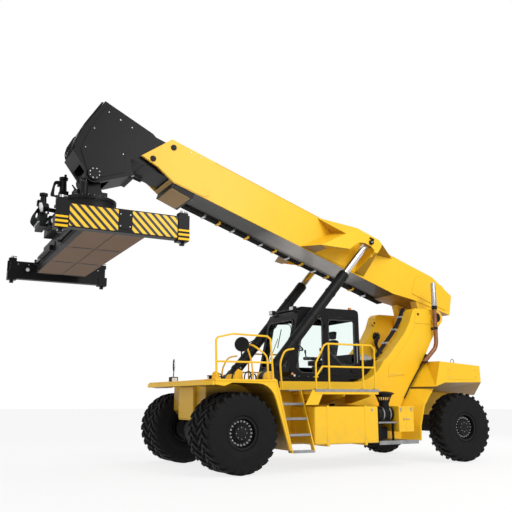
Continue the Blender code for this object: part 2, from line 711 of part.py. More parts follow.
def cab_inside(parent):
    floor = CAB_SIDE[0][1]
    seat = [
        box((3.05, -0.24, floor), (3.40, 0.24, floor + 0.32)),
        box((2.90, -0.28, floor + 0.30), (3.46, 0.28, floor + 0.48)),
        upright([(3.34, floor + 0.44), (3.50, floor + 0.44), (3.62, floor + 1.02), (3.48, floor + 1.04)], -0.27, 0.27),
        upright([(3.50, floor + 1.00), (3.60, floor + 0.98), (3.63, floor + 1.24), (3.54, floor + 1.25)], -0.14, 0.14),
    ]
    built("driver_seat", seat, SEAT_CLOTH, parent)
    console = [
        box((2.14, -0.34, floor), (2.34, 0.34, floor + 0.50)),
        rod((2.26, 0, floor + 0.45), (2.46, 0, floor + 0.80), 0.035, 12),
        rod((2.44, 0, floor + 0.765), (2.462, 0, floor + 0.805), 0.21, 20),
    ]
    built("steering_console", console, BLACK, parent)


def cab_door(parent):
    """A framed door in the left wall, hung at its front edge. Origin on the hinge axis."""
    x0, y0 = DOOR_HINGE.x, DOOR_HINGE.y
    wall = (-CAB_HALF - y0, -CAB_HALF + CAB_WALL - y0)
    low, high = (DOOR_X[0] + 0.006 - x0, DOOR_Z[0] + 0.006), (DOOR_X[1] - 0.006 - x0, DOOR_Z[1] - 0.006)
    solids = [box((low[0], wall[0], low[1]), (high[0], wall[1], high[1]))]
    for z in HINGE_HEIGHTS:
        solids.append(box((-0.016, -0.016, z), (0.09, 0.012, z + 0.07)))
        solids.append(box((0.03, 0, z), (0.09, wall[0] + 0.01, z + 0.07)))
    bores = [rod((0, 0, z - 0.05), (0, 0, z + 0.15), bore_for(HINGE_PIN, 12), 12) for z in HINGE_HEIGHTS]
    window = [(low[0] + 0.08, 2.62), (low[0] + 0.08, high[1] - 0.07), (high[0] - 0.08, high[1] - 0.07),
              (high[0] - 0.08, 2.30), (low[0] + 0.44, 2.30)]
    built("cab_door", solids, BLACK, parent, cut=bores + [upright(window, wall[0] - 0.1, wall[1] + 0.1)])
    middle = (wall[0] + wall[1]) / 2
    pane = upright(inset(window, GAP), middle - GLASS / 2, middle + GLASS / 2)
    built("glass_door", [pane], CLEAR_GLASS, parent)


DOOR_HINGE = Vector((DOOR_X[0] - 0.002, -CAB_HALF - 0.02, 0))
HINGE_HEIGHTS = (2.20, 3.20)
HINGE_PIN = 0.010


# Boom

SHOULDER_RINGS = (     # (half width, outline of (u, v) from the lower front corner round the back)
    (0.50, ((4.20, 0.27), (2.20, 0.27), (2.05, 1.00), (1.45, 1.16), (2.00, 1.20), (4.00, 1.20), (3.50, 0.98))),
    (SHOULDER_HALF, ((3.98, 0.27), (2.38, 0.78), (2.32, 0.95), (2.32, 1.06), (2.44, 1.12), (3.14, 1.13), (3.40, 0.85))),
)
POCKET = ((2.555, 0.05), (2.46, 0.80), (2.455, 1.02), (2.60, 1.15), (2.76, 1.30), (2.99, 1.30), (3.11, 1.10), (3.88, 0.15), (3.88, 0.05))
NOTCH = ((3.46, 0.05), (3.40, 0.20), (3.20, 0.50), (3.06, 0.72), (2.96, 0.81), (2.82, 0.86), (2.62, 0.86), (2.50, 0.81), (2.44, 0.70), (2.30, 0.05))


def shoulder():
    """The widening of the boom that carries both lift cylinders' upper pins."""
    rings = [(y, [(-u, v) for u, v in ring]) for y, ring in SHOULDER_RINGS]
    left = [(-y, ring) for y, ring in reversed(rings)]
    return loft(left + rings)


def outer_boom(parent):
    side = [(8.16, BOOM_TOP), (8.68, 0.49), (8.24, 0.42), (7.77, BOOM_BOTTOM), (1.20, BOOM_BOTTOM), (0.50, 0.36),
            (-0.78, 0.44), (-0.70, 0.98), (0.08, BOOM_TOP)]
    lug = [(0.50, 0.50)] + arc((0, 0), 0.22, 20, -200, 10) + [(-0.45, 0.50)]
    eye = RAM_EYE_UV
    solids = [along_boom(side, -BOOM_HALF, BOOM_HALF), shoulder()]
    solids += [along_boom(lug, s * 0.28, s * 0.52) for s in (LEFT, RIGHT)]
    solids += [rod((0, -FRAME_OUTER - 0.04, 0), (0, FRAME_OUTER + 0.04, 0), PIVOT_PIN)]
    solids += [along_boom([(7.25, 0.10), (7.75, 0.12), (7.75, 0.30), (7.25, 0.30)], -0.50, 0.50)]
    skin = SHOULDER_HALF - SHOULDER_SKIN
    knobs = [rod((-eye[0], s * (skin + 0.01), eye[1]), (-eye[0], s * (SHOULDER_HALF + 0.05), eye[1]), 0.05) for s in (LEFT, RIGHT)]
    hollow_side = [(9.0, BOOM_TOP - BOOM_WALL), (9.0, BOOM_BOTTOM + BOOM_WALL), (1.18, BOOM_BOTTOM + BOOM_WALL),
                   (0.50, 0.40), (-0.20, 0.46), (-0.20, BOOM_TOP - BOOM_WALL)]
    inside = BOOM_HALF - BOOM_WALL
    cuts = [along_boom(hollow_side, -inside, inside)]
    for s in (LEFT, RIGHT):
        cuts.append(along_boom(POCKET, s * (BOOM_HALF + 0.02), s * skin))
        cuts.append(along_boom(NOTCH, s * (skin - 0.08), s * (SHOULDER_HALF + 0.1)))
    made = built("outer_boom", solids, YELLOW, parent, cut=cuts)
    for i, mesh in enumerate(wear_pads() + knobs):
        add_boolean(made, "UNION", helper(mesh, parent, f"outer_boom.pad{i}"))


def wear_pads():
    """Blocks inside the outer boom's mouth that the inner boom slides on."""
    low = along_boom([(7.30, BOOM_BOTTOM + 0.01), (7.70, BOOM_BOTTOM + 0.01), (7.70, INNER_BOTTOM - PIN_GAP),
                      (7.30, INNER_BOTTOM - PIN_GAP)], -0.40, 0.40)
    high = along_boom([(7.60, INNER_TOP + PIN_GAP), (8.00, INNER_TOP + PIN_GAP), (8.00, BOOM_TOP - 0.01),
                       (7.60, BOOM_TOP - 0.01)], -0.40, 0.40)
    return [low, high]


def inner_boom(parent):
    """The sliding boom and the head that is bent down at its end."""
    tube = [(INNER_TAIL_U, INNER_BOTTOM), (INNER_TAIL_U, INNER_TOP), (INNER_NOSE_U, INNER_TOP), (INNER_NOSE_U, INNER_BOTTOM)]
    pin = HEAD_PIN_UV
    head = [(8.50, INNER_TOP - 0.01), (8.60, 1.16), (9.87, 1.33), (10.06, 0.57), (10.07, -0.09)]
    head += arc(pin, 0.20, 0, -120, 6)
    head += [(8.64, 0.03), (8.78, 0.14), (8.85, INNER_BOTTOM + 0.01), (8.50, INNER_BOTTOM + 0.01)]
    wall = 0.03
    hollow = [(INNER_TAIL_U - 0.2, INNER_BOTTOM + wall), (INNER_TAIL_U - 0.2, INNER_TOP - wall),
              (INNER_NOSE_U - 0.1, INNER_TOP - wall), (INNER_NOSE_U - 0.1, INNER_BOTTOM + wall)]
    slot = arc(pin, 0.37, -10, 170, 10) + [(8.72, -1.0), (9.97, -1.0)]
    solids = [
        along_boom(tube, -INNER_HALF, INNER_HALF),
        along_boom(head, -HEAD_HALF, HEAD_HALF),
        rod((-pin[0], -0.44, pin[1]), (-pin[0], 0.44, pin[1]), 0.09),
    ]
    made = built("inner_boom", solids[:2], BLACK, parent,
                 cut=[along_boom(hollow, -INNER_HALF + wall, INNER_HALF - wall), along_boom(slot, -0.30, 0.30)])
    add_boolean(made, "UNION", helper(solids[2], parent, "inner_boom.pin"))


def ram(side, root, angle):
    """A lift cylinder, set out along Z from its lower pin."""
    tag = "right" if side == RIGHT else "left"
    foot = anchor(f"lift_barrel_{tag}_axis", root, (RAM_FOOT.x, side * RAM_Y, RAM_FOOT.z), angle)
    barrel = [
        rod((0, 0, 0.18), (0, 0, RAM_BARREL_LENGTH), RAM_BARREL),
        box((-0.12, -0.10, 0), (0.12, 0.10, 0.22)),
        rod((0, -0.10, 0), (0, 0.10, 0), RAM_EYE),
    ]
    cuts = [
        rod((0, 0, 0.30), (0, 0, RAM_BARREL_LENGTH - 0.12), RAM_BORE),
        rod((0, 0, RAM_BARREL_LENGTH - 0.20), (0, 0, RAM_BARREL_LENGTH + 0.1), bore_for(RAM_ROD)),
        rod((0, -0.2, 0), (0, 0.2, 0), bore_for(RAM_PIN)),
    ]
    built(f"lift_barrel_{tag}", barrel, BLACK, foot, cut=cuts)
    bar = [
        rod((0, 0, RAM_ROD_TAIL), (0, 0, RAM_REST - 0.05), RAM_ROD),
        rod((0, -0.09, RAM_REST), (0, 0.09, RAM_REST), 0.14),
    ]
    built(f"lift_rod_{tag}", bar, STEEL, foot)


def boom_point(u, v):
    """The world place of a point that is given along and square to the boom."""
    return PIVOT + Vector((-u * cos(BOOM_ANGLE) + v * sin(BOOM_ANGLE), 0, u * sin(BOOM_ANGLE) + v * cos(BOOM_ANGLE)))


RAM_SPAN = boom_point(*RAM_EYE_UV) - RAM_FOOT
RAM_REST = RAM_SPAN.length
HEAD_PIN = boom_point(*HEAD_PIN_UV)


# Spreader

def head_yoke(parent):
    """The block that hangs from the boom head and carries the slewing ring. Origin at the pin."""
    flange = RING_Z[1] + PIN_GAP - HEAD_PIN.z
    solids = [
        rod((0, -0.28, 0), (0, 0.28, 0), 0.19),
        box((-0.19, -0.28, flange + 0.05), (0.19, 0.28, 0)),
        box((-0.34, -0.34, flange + 0.02), (0.34, 0.34, flange + 0.24)),
        rod((0, 0, flange), (0, 0, flange + 0.08), 0.62, 32),
    ]
    bore = rod((0, -0.4, 0), (0, 0.4, 0), bore_for(0.09))
    built("head_yoke", solids, BLACK, parent, cut=[bore])


def rotator(parent):
    """The slewing ring and, below it, the carriage that the spreader slides across on."""
    z = [h - HEAD_PIN.z for h in (CARRIAGE_Z, RING_Z[0], RING_Z[1])]
    half_x, half_y = CARRIAGE_HALF
    solids = [
        rod((0, 0, z[1] - 0.02), (0, 0, z[2]), RING_RADIUS, 32),
        box((-half_x, -half_y, z[0]), (half_x, half_y, z[1])),
    ]
    built("rotator", solids, BLACK, parent)


def spreader_frame(parent):
    """Two square tubes side by side, open at both ends, under a pair of rails."""
    low, high = [z - HEAD_PIN.z for z in SPREADER_Z]
    rail_top = CARRIAGE_Z - PIN_GAP - HEAD_PIN.z
    half = SPREADER_HALF_X
    solids = [box((-half, -SPREADER_HALF_Y, low), (half, SPREADER_HALF_Y, high))]
    for s in (-1, 1):
        solids.append(box((s * 0.55 - 0.05, -1.75, high - 0.02), (s * 0.55 + 0.05, 1.75, rail_top)))
    wide = half - TUNNEL_WALL * 1.5
    tunnels = []
    for s in (-1, 1):
        near, far = sorted((s * TUNNEL_WALL / 2 + s * 0.005, s * (half - TUNNEL_WALL)))
        tunnels.append(box((near, -3, ARM_Z[0] - 0.025 - HEAD_PIN.z), (far, 3, ARM_Z[1] + 0.025 - HEAD_PIN.z)))
    made = built("spreader_frame", solids, BLACK, parent, cut=tunnels)
    for i, s in enumerate((-1, 1)):
        for j, z in enumerate((ARM_Z[0] - 0.04, ARM_Z[1] + PIN_GAP)):
            end = s * SPREADER_HALF_Y
            y = sorted((end - s * 0.01, end - s * 0.21))
            middle = s * ARM_OFFSET
            pad = box((middle - 0.20, y[0], z - HEAD_PIN.z), (middle + 0.20, y[1], z + 0.04 - PIN_GAP - HEAD_PIN.z))
            add_boolean(made, "UNION", helper(pad, parent, f"spreader_frame.pad{i}{j}"))


ARM_OFFSET = (SPREADER_HALF_X - TUNNEL_WALL + TUNNEL_WALL / 2 + 0.005) / 2


def spreader_end(side, parent):
    """A telescopic arm with its end beam, corner housings and twistlocks."""
    tag = "right" if side == RIGHT else "left"
    z = HEAD_PIN.z
    middle = side * ARM_OFFSET
    solids = [
        box((-END_BEAM_HALF_X, END_BEAM_Y[0], END_BEAM_Z[0] - z), (END_BEAM_HALF_X, END_BEAM_Y[1], END_BEAM_Z[1] - z)),
        box((middle - ARM_WIDTH / 2, -2.30, ARM_Z[0] - z), (middle + ARM_WIDTH / 2, END_BEAM_Y[0] + 0.05, ARM_Z[1] - z)),
    ]
    for s in (-1, 1):
        x, y = s * CASTING_X, CASTING_Y
        solids.append(box((x - 0.11, y - 0.125, 4.41 - z), (x + 0.11, y + 0.11, 4.62 - z)))
        solids.append(box((x - 0.06, y - 0.06, 4.60 - z), (x + 0.06, y + 0.06, 4.93 - z)))
        solids.append(rod((x, y, 4.33 - z), (x, y, 4.42 - z), 0.05, 12, 0.05))
    built(f"spreader_end_{tag}", to_side(solids, side), BLACK, parent)


def place_on_footprint(root):
    """Moves the machine so that the middle of its bounding box is at x = 0 and y = 0, its tyres at z = 0."""
    bpy.context.view_layer.update()
    graph = bpy.context.evaluated_depsgraph_get()
    low, high = Vector((1e9, 1e9, 1e9)), Vector((-1e9, -1e9, -1e9))
    for thing in parts.objects:
        if thing.type != "MESH":
            continue
        found = thing.evaluated_get(graph)
        for corner in found.data.vertices:
            place = found.matrix_world @ corner.co
            low = Vector(map(min, low, place))
            high = Vector(map(max, high, place))
    middle = (low + high) / 2
    root.location = (-middle.x, -middle.y, -low.z)
    print("moved by", [round(v, 6) for v in root.location])


clear_scene()
parts = new_collection("reach_stacker")
cutters = new_collection("cutters")
root = anchor("reach_stacker_root")

main_frame(root)
drive_axle(root)
steer_axle(root)
front_tray(root)
counterweight(root)
engine(root)
service_rack(root)
air_cleaner(root)
exhaust(root)
cab(root)
door_axis = anchor("cab_door_axis", root, DOOR_HINGE)
cab_door(door_axis)
boom_axis = anchor("boom_lift_axis", root, PIVOT, BOOM_ANGLE)
outer_boom(boom_axis)
inner_boom(boom_axis)
for hand in (LEFT, RIGHT):
    side_frame(hand, root)
    front_wheel(hand, root)
    rear_wheel(hand, root)
    fender(hand, root)
    side_tank(hand, root)
    platform(hand, root)
    handrails(hand, root)
    ram(hand, root, pi / 2 - RAM_SPAN.angle(Vector((1, 0, 0))))
head_axis = anchor("head_level_axis", root, HEAD_PIN)
head_yoke(head_axis)
rotator(head_axis)
spreader_frame(head_axis)
for hand in (LEFT, RIGHT):
    spreader_end(hand, head_axis)
place_on_footprint(root)
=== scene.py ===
"""Reach stacker: finishes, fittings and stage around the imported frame, laid out as an add-on."""

import json
from math import cos, pi, radians, sin

import bmesh
import bpy
from bpy.props import FloatProperty, FloatVectorProperty, IntProperty, PointerProperty
from bpy.types import Operator, Panel, PropertyGroup
from mathutils import Matrix, Vector


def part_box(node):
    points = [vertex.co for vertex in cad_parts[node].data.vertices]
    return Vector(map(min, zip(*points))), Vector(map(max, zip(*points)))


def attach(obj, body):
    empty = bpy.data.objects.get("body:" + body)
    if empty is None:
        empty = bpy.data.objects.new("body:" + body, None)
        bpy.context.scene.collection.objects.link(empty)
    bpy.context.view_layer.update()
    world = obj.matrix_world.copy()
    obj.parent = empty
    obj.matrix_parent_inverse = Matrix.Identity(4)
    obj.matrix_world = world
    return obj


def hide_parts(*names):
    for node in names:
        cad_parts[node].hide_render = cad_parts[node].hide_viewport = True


bl_info = {
    "name": "Reach stacker",
    "version": (1, 0, 0),
    "blender": (4, 5, 0),
    "location": "3D View > Sidebar > Reach stacker",
    "description": "Finishes and fittings of a container reach stacker",
    "category": "Object",
}

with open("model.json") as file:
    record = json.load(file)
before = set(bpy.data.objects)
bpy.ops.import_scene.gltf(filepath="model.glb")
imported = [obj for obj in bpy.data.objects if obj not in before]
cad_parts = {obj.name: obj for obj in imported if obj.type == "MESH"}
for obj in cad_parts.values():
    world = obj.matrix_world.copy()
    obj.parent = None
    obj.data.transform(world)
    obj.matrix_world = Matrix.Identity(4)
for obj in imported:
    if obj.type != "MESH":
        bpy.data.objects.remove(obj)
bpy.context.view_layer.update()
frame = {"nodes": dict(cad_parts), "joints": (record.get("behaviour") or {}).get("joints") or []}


def middle(node):
    low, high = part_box(node)
    return (low + high) / 2


# Set-out: lengths along the machine are counted back from the drive axle
ORIGIN = Vector((middle("drive_axle").x, 0, 0))
JOINT = {j["name"]: j for j in frame["joints"]}
PIVOT = Vector(JOINT["boom_lift"]["pos_m"]) - ORIGIN
HEAD_PIN = Vector(JOINT["head_level"]["pos_m"]) - ORIGIN
RAM_FOOT = Vector(JOINT["lift_barrel_right_swing"]["pos_m"]) - ORIGIN
RAM_WAY = Vector(JOINT["lift_rod_right_stroke"]["axis"])
BOOM_WAY = Vector(JOINT["boom_extend"]["axis"])
BOOM_TILT = Vector((-1, 0, 0)).angle(BOOM_WAY)
WHEELBASE = JOINT["steer_left"]["pos_m"][0] - ORIGIN.x
TYRE_RADIUS = 0.825
FRONT_TYRES = (1.27, 1.82)
REAR_TYRE = 1.57
FRAME_FACE = 0.95
NOSE = -0.36
BOOM_HALF = 0.54
BOOM_BOTTOM = 0.25
BOOM_TOP = 1.22
SHOULDER_FACE = 1.175
RAM_LENGTH = 3.38
TWISTLOCK = (2.259 / 2, 2.9265)     # half the spacing, and out from the middle
EXHAUST = (6.05, -(FRAME_FACE + 0.14))
LEFT, RIGHT = -1, 1
TAGS = {LEFT: "left", RIGHT: "right"}
EDGE_ANGLE = radians(32)
WHITE = (1.0, 1.0, 1.0)


# Geometry

class Sketch:
    """Closed shapes of one or more finishes, collected into one piece. Points go through `place` first."""

    def __init__(self, *finishes, place=None):
        self.mesh = bmesh.new()
        self.finishes = finishes
        self.slot = 0
        self.place = place or Matrix.Identity(4)

    def use(self, finish_name):
        self.slot = self.finishes.index(finish_name)
        return self

    def skin(self, points, faces):
        made = [self.mesh.verts.new(self.place @ Vector(p)) for p in points]
        for face in faces:
            new = self.mesh.faces.new([made[i] for i in face])
            new.material_index = self.slot

    def loft(self, rings, closed=False):
        """Skin over like rings of points, capped at both ends unless the rings close on themselves."""
        count, last = len(rings[0]), len(rings)
        points = [p for ring in rings for p in ring]
        faces = []
        for k in range(last if closed else last - 1):
            a, b = k * count, ((k + 1) % last) * count
            for i in range(count):
                j = (i + 1) % count
                faces.append((a + i, a + j, b + j, b + i))
        if not closed:
            faces.append(tuple(reversed(range(count))))
            faces.append(tuple((last - 1) * count + i for i in range(count)))
        self.skin(points, faces)
        return self

    def box(self, low, high):
        low, high = Vector(low), Vector(high)
        base = [(low.x, low.y), (high.x, low.y), (high.x, high.y), (low.x, high.y)]
        return self.loft([[(x, y, z) for x, y in base] for z in (low.z, high.z)])

    def block(self, *spans):
        """A box from its three spans, whose ends may come in either order."""
        return self.box([min(s) for s in spans], [max(s) for s in spans])

    def plate(self, outline, low, high, across="y"):
        """An outline in the plane square to `across`, extruded from low to high."""
        put = {"y": lambda a, b, c: (a, c, b), "z": lambda a, b, c: (a, b, c), "x": lambda a, b,
                c: (c, a, b)}[across]
        return self.loft([[put(a, b, c) for a, b in outline] for c in (low, high)])

    def bar(self, start, end, radius, far=None, sides=20):
        start, end = Vector(start), Vector(end)
        far = radius if far is None else far
        turn = Vector((0, 0, 1)).rotation_difference(end - start).to_matrix()
        rings = []
        for centre, r in ((start, radius), (end, far)):
            rings.append([centre + turn @ Vector((r * cos(a), r * sin(a), 0)) for a in angles(sides)])
        return self.loft(rings)

    def tube(self, route, radius, sides=10, bend=4):
        """A round tube along a route, with its corners rounded by a few short steps."""
        points = eased([Vector(p) for p in route], bend)
        rings, side = [], None
        for i, point in enumerate(points):
            way = (points[min(i + 1, len(points) - 1)] - points[max(i - 1, 0)]).normalized()
            if side is None:
                side = way.orthogonal().normalized()
            side = (side - way * side.dot(way)).normalized()
            up = way.cross(side)
            rings.append([point + (side * cos(a) + up * sin(a)) * radius for a in angles(sides)])
        return self.loft(rings)

    def turned(self, profile, centre, axis="y", sides=48):
        """A ring or cup turned about an axis through centre, from a closed profile of (radius, along)."""
        centre = Vector(centre)
        put = {"y": lambda r, c, a: (r * cos(a), c, r * sin(a)), "z": lambda r, c,
                a: (r * cos(a), r * sin(a), c)}[axis]
        rings = [[centre + Vector(put(r, c, a)) for r, c in profile] for a in angles(sides)]
        return self.loft(rings, closed=True)

    def bolts(self, places, way, head=0.014, height=0.012):
        """Six-sided bolt heads on washers, standing out of a face along way."""
        way = Vector(way).normalized()
        for place in places:
            place = Vector(place)
            self.bar(place - way * 0.004, place + way * 0.004, head * 1.35, sides=12)
            self.bar(place, place + way * height, head, head * 0.92, sides=6)
        return self

    def done(self, name, body, replaces=(), bevel=0.006):
        """Makes the piece, softens its edges, and sets it on its body."""
        mesh = bpy.data.meshes.new(name)
        self.mesh.transform(Matrix.Translation(ORIGIN))
        bmesh.ops.remove_doubles(self.mesh, verts=self.mesh.verts, dist=1e-6)
        bmesh.ops.recalc_face_normals(self.mesh, faces=self.mesh.faces)
        self.mesh.to_mesh(mesh)
        self.mesh.free()
        for key in self.finishes:
            mesh.materials.append(finish(key))
        piece = bpy.data.objects.new(name, mesh)
        bpy.context.scene.collection.objects.link(piece)
        mesh.shade_smooth()
        mesh.set_sharp_from_angle(angle=EDGE_ANGLE)
        if bevel:
            soften = piece.modifiers.new("soft edges", "BEVEL")
            soften.width = bevel
            soften.segments = 2
            soften.limit_method = "ANGLE"
            soften.angle_limit = EDGE_ANGLE
            soften.harden_normals = True
        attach(piece, body)
        if replaces:
            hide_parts(*replaces)
        return piece


def span(side, near, far):
    """Two distances from the middle as (low, high), on the given side."""
    return sorted((side * near, side * far))


def angles(count, start=0.0):
    return [start + 2 * pi * i / count for i in range(count)]


def eased(points, steps):
    """The same route with each corner replaced by a short curve."""
    if steps < 2 or len(points) < 3:
        return points
    out = [points[0]]
    for before, corner, after in zip(points, points[1:], points[2:]):
        reach = min((before - corner).length, (after - corner).length, 0.24) * 0.45
        start = corner + (before - corner).normalized() * reach
        end = corner + (after - corner).normalized() * reach
        for k in range(steps + 1):
            t = k / steps
            out.append(start.lerp(corner, t).lerp(corner.lerp(end, t), t))
    return out + [points[-1]]


def circle(centre, radius, count, across="y", start=0.0):
    """Places evenly round a circle square to `across`."""
    cx, cy, cz = centre
    if across == "y":
        return [(cx + radius * cos(a), cy, cz + radius * sin(a)) for a in angles(count, start)]
    if across == "z":
        return [(cx + radius * cos(a), cy + radius * sin(a), cz) for a in angles(count, start)]
    return [(cx, cy + radius * cos(a), cz + radius * sin(a)) for a in angles(count, start)]


def rounded(low, high, radius, steps=4):
    """A rectangle with round corners, as an outline."""
    (x0, y0), (x1, y1) = low, high
    out = []
    for cx, cy, turn in ((x1 - radius, y1 - radius, 0), (x0 + radius, y1 - radius, 90),
                         (x0 + radius, y0 + radius, 180), (x1 - radius, y0 + radius, 270)):
        for k in range(steps + 1):
            a = radians(turn + 90 * k / steps)
            out.append((cx + radius * cos(a), cy + radius * sin(a)))
    return out


def boom_place():
    """From (-u, y, v), along and square to the boom, to the machine's own set-out."""
    return Matrix.Translation(PIVOT) @ Matrix.Rotation(BOOM_TILT, 4, "Y")


def ram_place(side):
    """From a lift cylinder's own axis along Z to the machine's set-out."""
    foot = Vector((RAM_FOOT.x, side * abs(RAM_FOOT.y), RAM_FOOT.z))
    return Matrix.Translation(foot) @ Vector((0, 0, 1)).rotation_difference(RAM_WAY).to_matrix().to_4x4()


# Finishes

class Amount:
    """A socket that takes part in plain arithmetic."""

    def __init__(self, finish, socket):
        self.finish = finish
        self.socket = socket

    def math(self, operation, *others, clamp=False):
        return self.finish.maths(operation, self, *others, clamp=clamp)

    def __add__(self, other):
        return self.math("ADD", other)

    __radd__ = __add__

    def __mul__(self, other):
        return self.math("MULTIPLY", other)

    __rmul__ = __mul__

    def __sub__(self, other):
        return self.math("SUBTRACT", other)

    def __rsub__(self, other):
        return self.finish.maths("SUBTRACT", other, self)

    def __pow__(self, other):
        return self.math("POWER", other)

    def __neg__(self):
        return self * -1.0

    def clamped(self):
        return self.math("ADD", 0.0, clamp=True)

    def fraction(self):
        return self.math("FRACT")

    def size(self):
        return self.math("ABSOLUTE")


class Nodes:
    """Adds nodes to one tree, which is a material's or the world's."""

    def __init__(self, tree):
        self.tree = tree

    def node(self, kind, settings=None, values=None):
        made = self.tree.nodes.new(kind)
        for key, value in (settings or {}).items():
            if key == "stops":
                self.stops(made.color_ramp, value)
            else:
                setattr(made, key, value)
        for key, value in (values or {}).items():
            self.feed(made.inputs[key], value)
        return made

    def stops(self, ramp, stops):
        while len(ramp.elements) < len(stops):
            ramp.elements.new(0.5)
        for element, (place, colour) in zip(ramp.elements, stops):
            element.position = place
            element.color = (*colour, 1) if hasattr(colour, "__len__") else (colour, colour, colour, 1)

    def feed(self, slot, value):
        if isinstance(value, Amount):
            value = value.socket
        if isinstance(value, bpy.types.NodeSocket):
            self.tree.links.new(value, slot)
        elif hasattr(value, "__len__") and len(value) == 3 and slot.type == "RGBA":
            slot.default_value = (*value, 1)
        else:
            slot.default_value = value

    def maths(self, operation, *values, clamp=False):
        made = self.node("ShaderNodeMath", {"operation": operation, "use_clamp": clamp},
                dict(enumerate(values)))
        return Amount(self, made.outputs[0])


class Finish(Nodes):
    """A material under construction."""

    def __init__(self, name, colour, roughness=0.5, metallic=0.0, **fixed):
        self.material = bpy.data.materials.new(name)
        self.material.use_nodes = True
        super().__init__(self.material.node_tree)
        self.shader = self.tree.nodes["Principled BSDF"]
        self.material.diffuse_color = (*colour, 1)
        self.feed(self.shader.inputs["Base Color"], colour)
        self.feed(self.shader.inputs["Roughness"], roughness)
        self.feed(self.shader.inputs["Metallic"], metallic)
        for key, value in fixed.items():
            self.shader.inputs[key.replace("_", " ").title().replace("Ior", "IOR")].default_value = value
        place = self.node("ShaderNodeTexCoord")
        self.place = place.outputs["Object"]
        parts = self.node("ShaderNodeSeparateXYZ", {}, {"Vector": self.place})
        self.x, self.y, self.z = (Amount(self, parts.outputs[k]) for k in "XYZ")
        facing = self.node("ShaderNodeSeparateXYZ", {}, {"Vector": place.outputs["Normal"]})
        self.up = Amount(self, facing.outputs["Z"])

    def noise(self, scale, detail=4.0, rough=0.55, stretch=None):
        vector = self.place
        if stretch:
            vector = self.node("ShaderNodeMapping", {},
                    {"Vector": self.place, "Scale": stretch}).outputs["Vector"]
        made = self.node("ShaderNodeTexNoise", {}, {"Vector": vector, "Scale": scale, "Detail": detail,
                "Roughness": rough})
        return Amount(self, made.outputs["Fac"])

    def cells(self, scale):
        made = self.node("ShaderNodeTexVoronoi", {}, {"Vector": self.place, "Scale": scale})
        return Amount(self, made.outputs["Distance"])

    def spread(self, amount, low, high):
        """0 below low, 1 above high, and a straight slope between."""
        made = self.node("ShaderNodeMapRange", {}, {"Value": amount, "From Min": low, "From Max": high})
        return Amount(self, made.outputs["Result"])

    def blend(self, share, first, second):
        made = self.node("ShaderNodeMix", {"data_type": "RGBA"})
        self.feed(made.inputs["Factor"], share)
        self.feed(made.inputs[6], first)
        self.feed(made.inputs[7], second)
        return made.outputs[2]

    def colour(self, value):
        self.feed(self.shader.inputs["Base Color"], value)
        return self

    def roughness(self, value):
        self.feed(self.shader.inputs["Roughness"], value)
        return self

    def bump(self, height, distance, strength=1.0):
        made = self.node("ShaderNodeBump", {}, {"Height": height, "Distance": distance, "Strength": strength})
        self.feed(self.shader.inputs["Normal"], made.outputs["Normal"])
        return self


def tinted(colour, by):
    return tuple(min(1.0, c * by) for c in colour)


def enamel(name, colour, dust, dusty=0.35, rough=0.42, gloss=0.10, shine=0.35, under=None, arch_shade=False,
        bands=None):
    """Sprayed machine enamel: orange peel, cloudy fade and road dust low down; where asked, painted shade on faces
    that look down and on faces round the front wheels under the fenders.
    """
    f = Finish(name, colour, rough, coat_weight=gloss, coat_roughness=0.2, specular_ior_level=shine)
    cloud = f.noise(0.9, 5)
    fine = f.noise(38.0, 3)
    body = f.blend(f.spread(cloud, 0.35, 0.72) * 0.5, colour, tinted(colour, 0.9))
    streak = f.spread(f.noise(3.0, 6, 0.6, stretch=(1.6, 1.6, 0.22)), 0.56, 0.75)
    low = f.spread(-f.z, -1.5, -0.25)
    soil = (low * f.spread(f.noise(5.0, 6), 0.38, 0.68) * dusty + streak * 0.06).clamped()
    body = f.blend(soil, body, dust)
    scuff = f.spread(f.noise(11.0, 8, 0.72), 0.70, 0.74) * f.spread(fine, 0.45, 0.6)
    body = f.blend(scuff * 0.25, body, tinted(dust, 0.55))
    # Painted shade: faces that look down are blended towards the darker under colour.
    if under:
        body = f.blend(f.spread(-f.up, 0.35, 0.9) * 0.9, body, under)
    # Painted shade: a dark brown patch on faces round the front wheels, below the fenders, where shadow falls.
    if arch_shade:
        near = f.spread((f.x - ORIGIN.x - 0.36).size(), 0.86, 0.66) * f.spread(f.z, 1.80,
                1.62) * f.spread(f.y.size(), 2.03, 1.98)
        body = f.blend(near * 0.85, body, (0.10, 0.05, 0.014))
    if bands:
        housing = f.spread(f.y.size(), 3.028, 3.032) * f.spread(f.z, 4.625, 4.62)
        body = f.blend(housing * f.spread((f.z * 12.0).fraction(), 0.52, 0.48), body, bands)
    f.colour(body)
    f.roughness((rough + soil * 0.45 + fine * 0.08).clamped())
    f.bump(f.noise(420.0, 1) * 0.4 + fine * 0.6, 0.0006, 0.35)
    return f.material


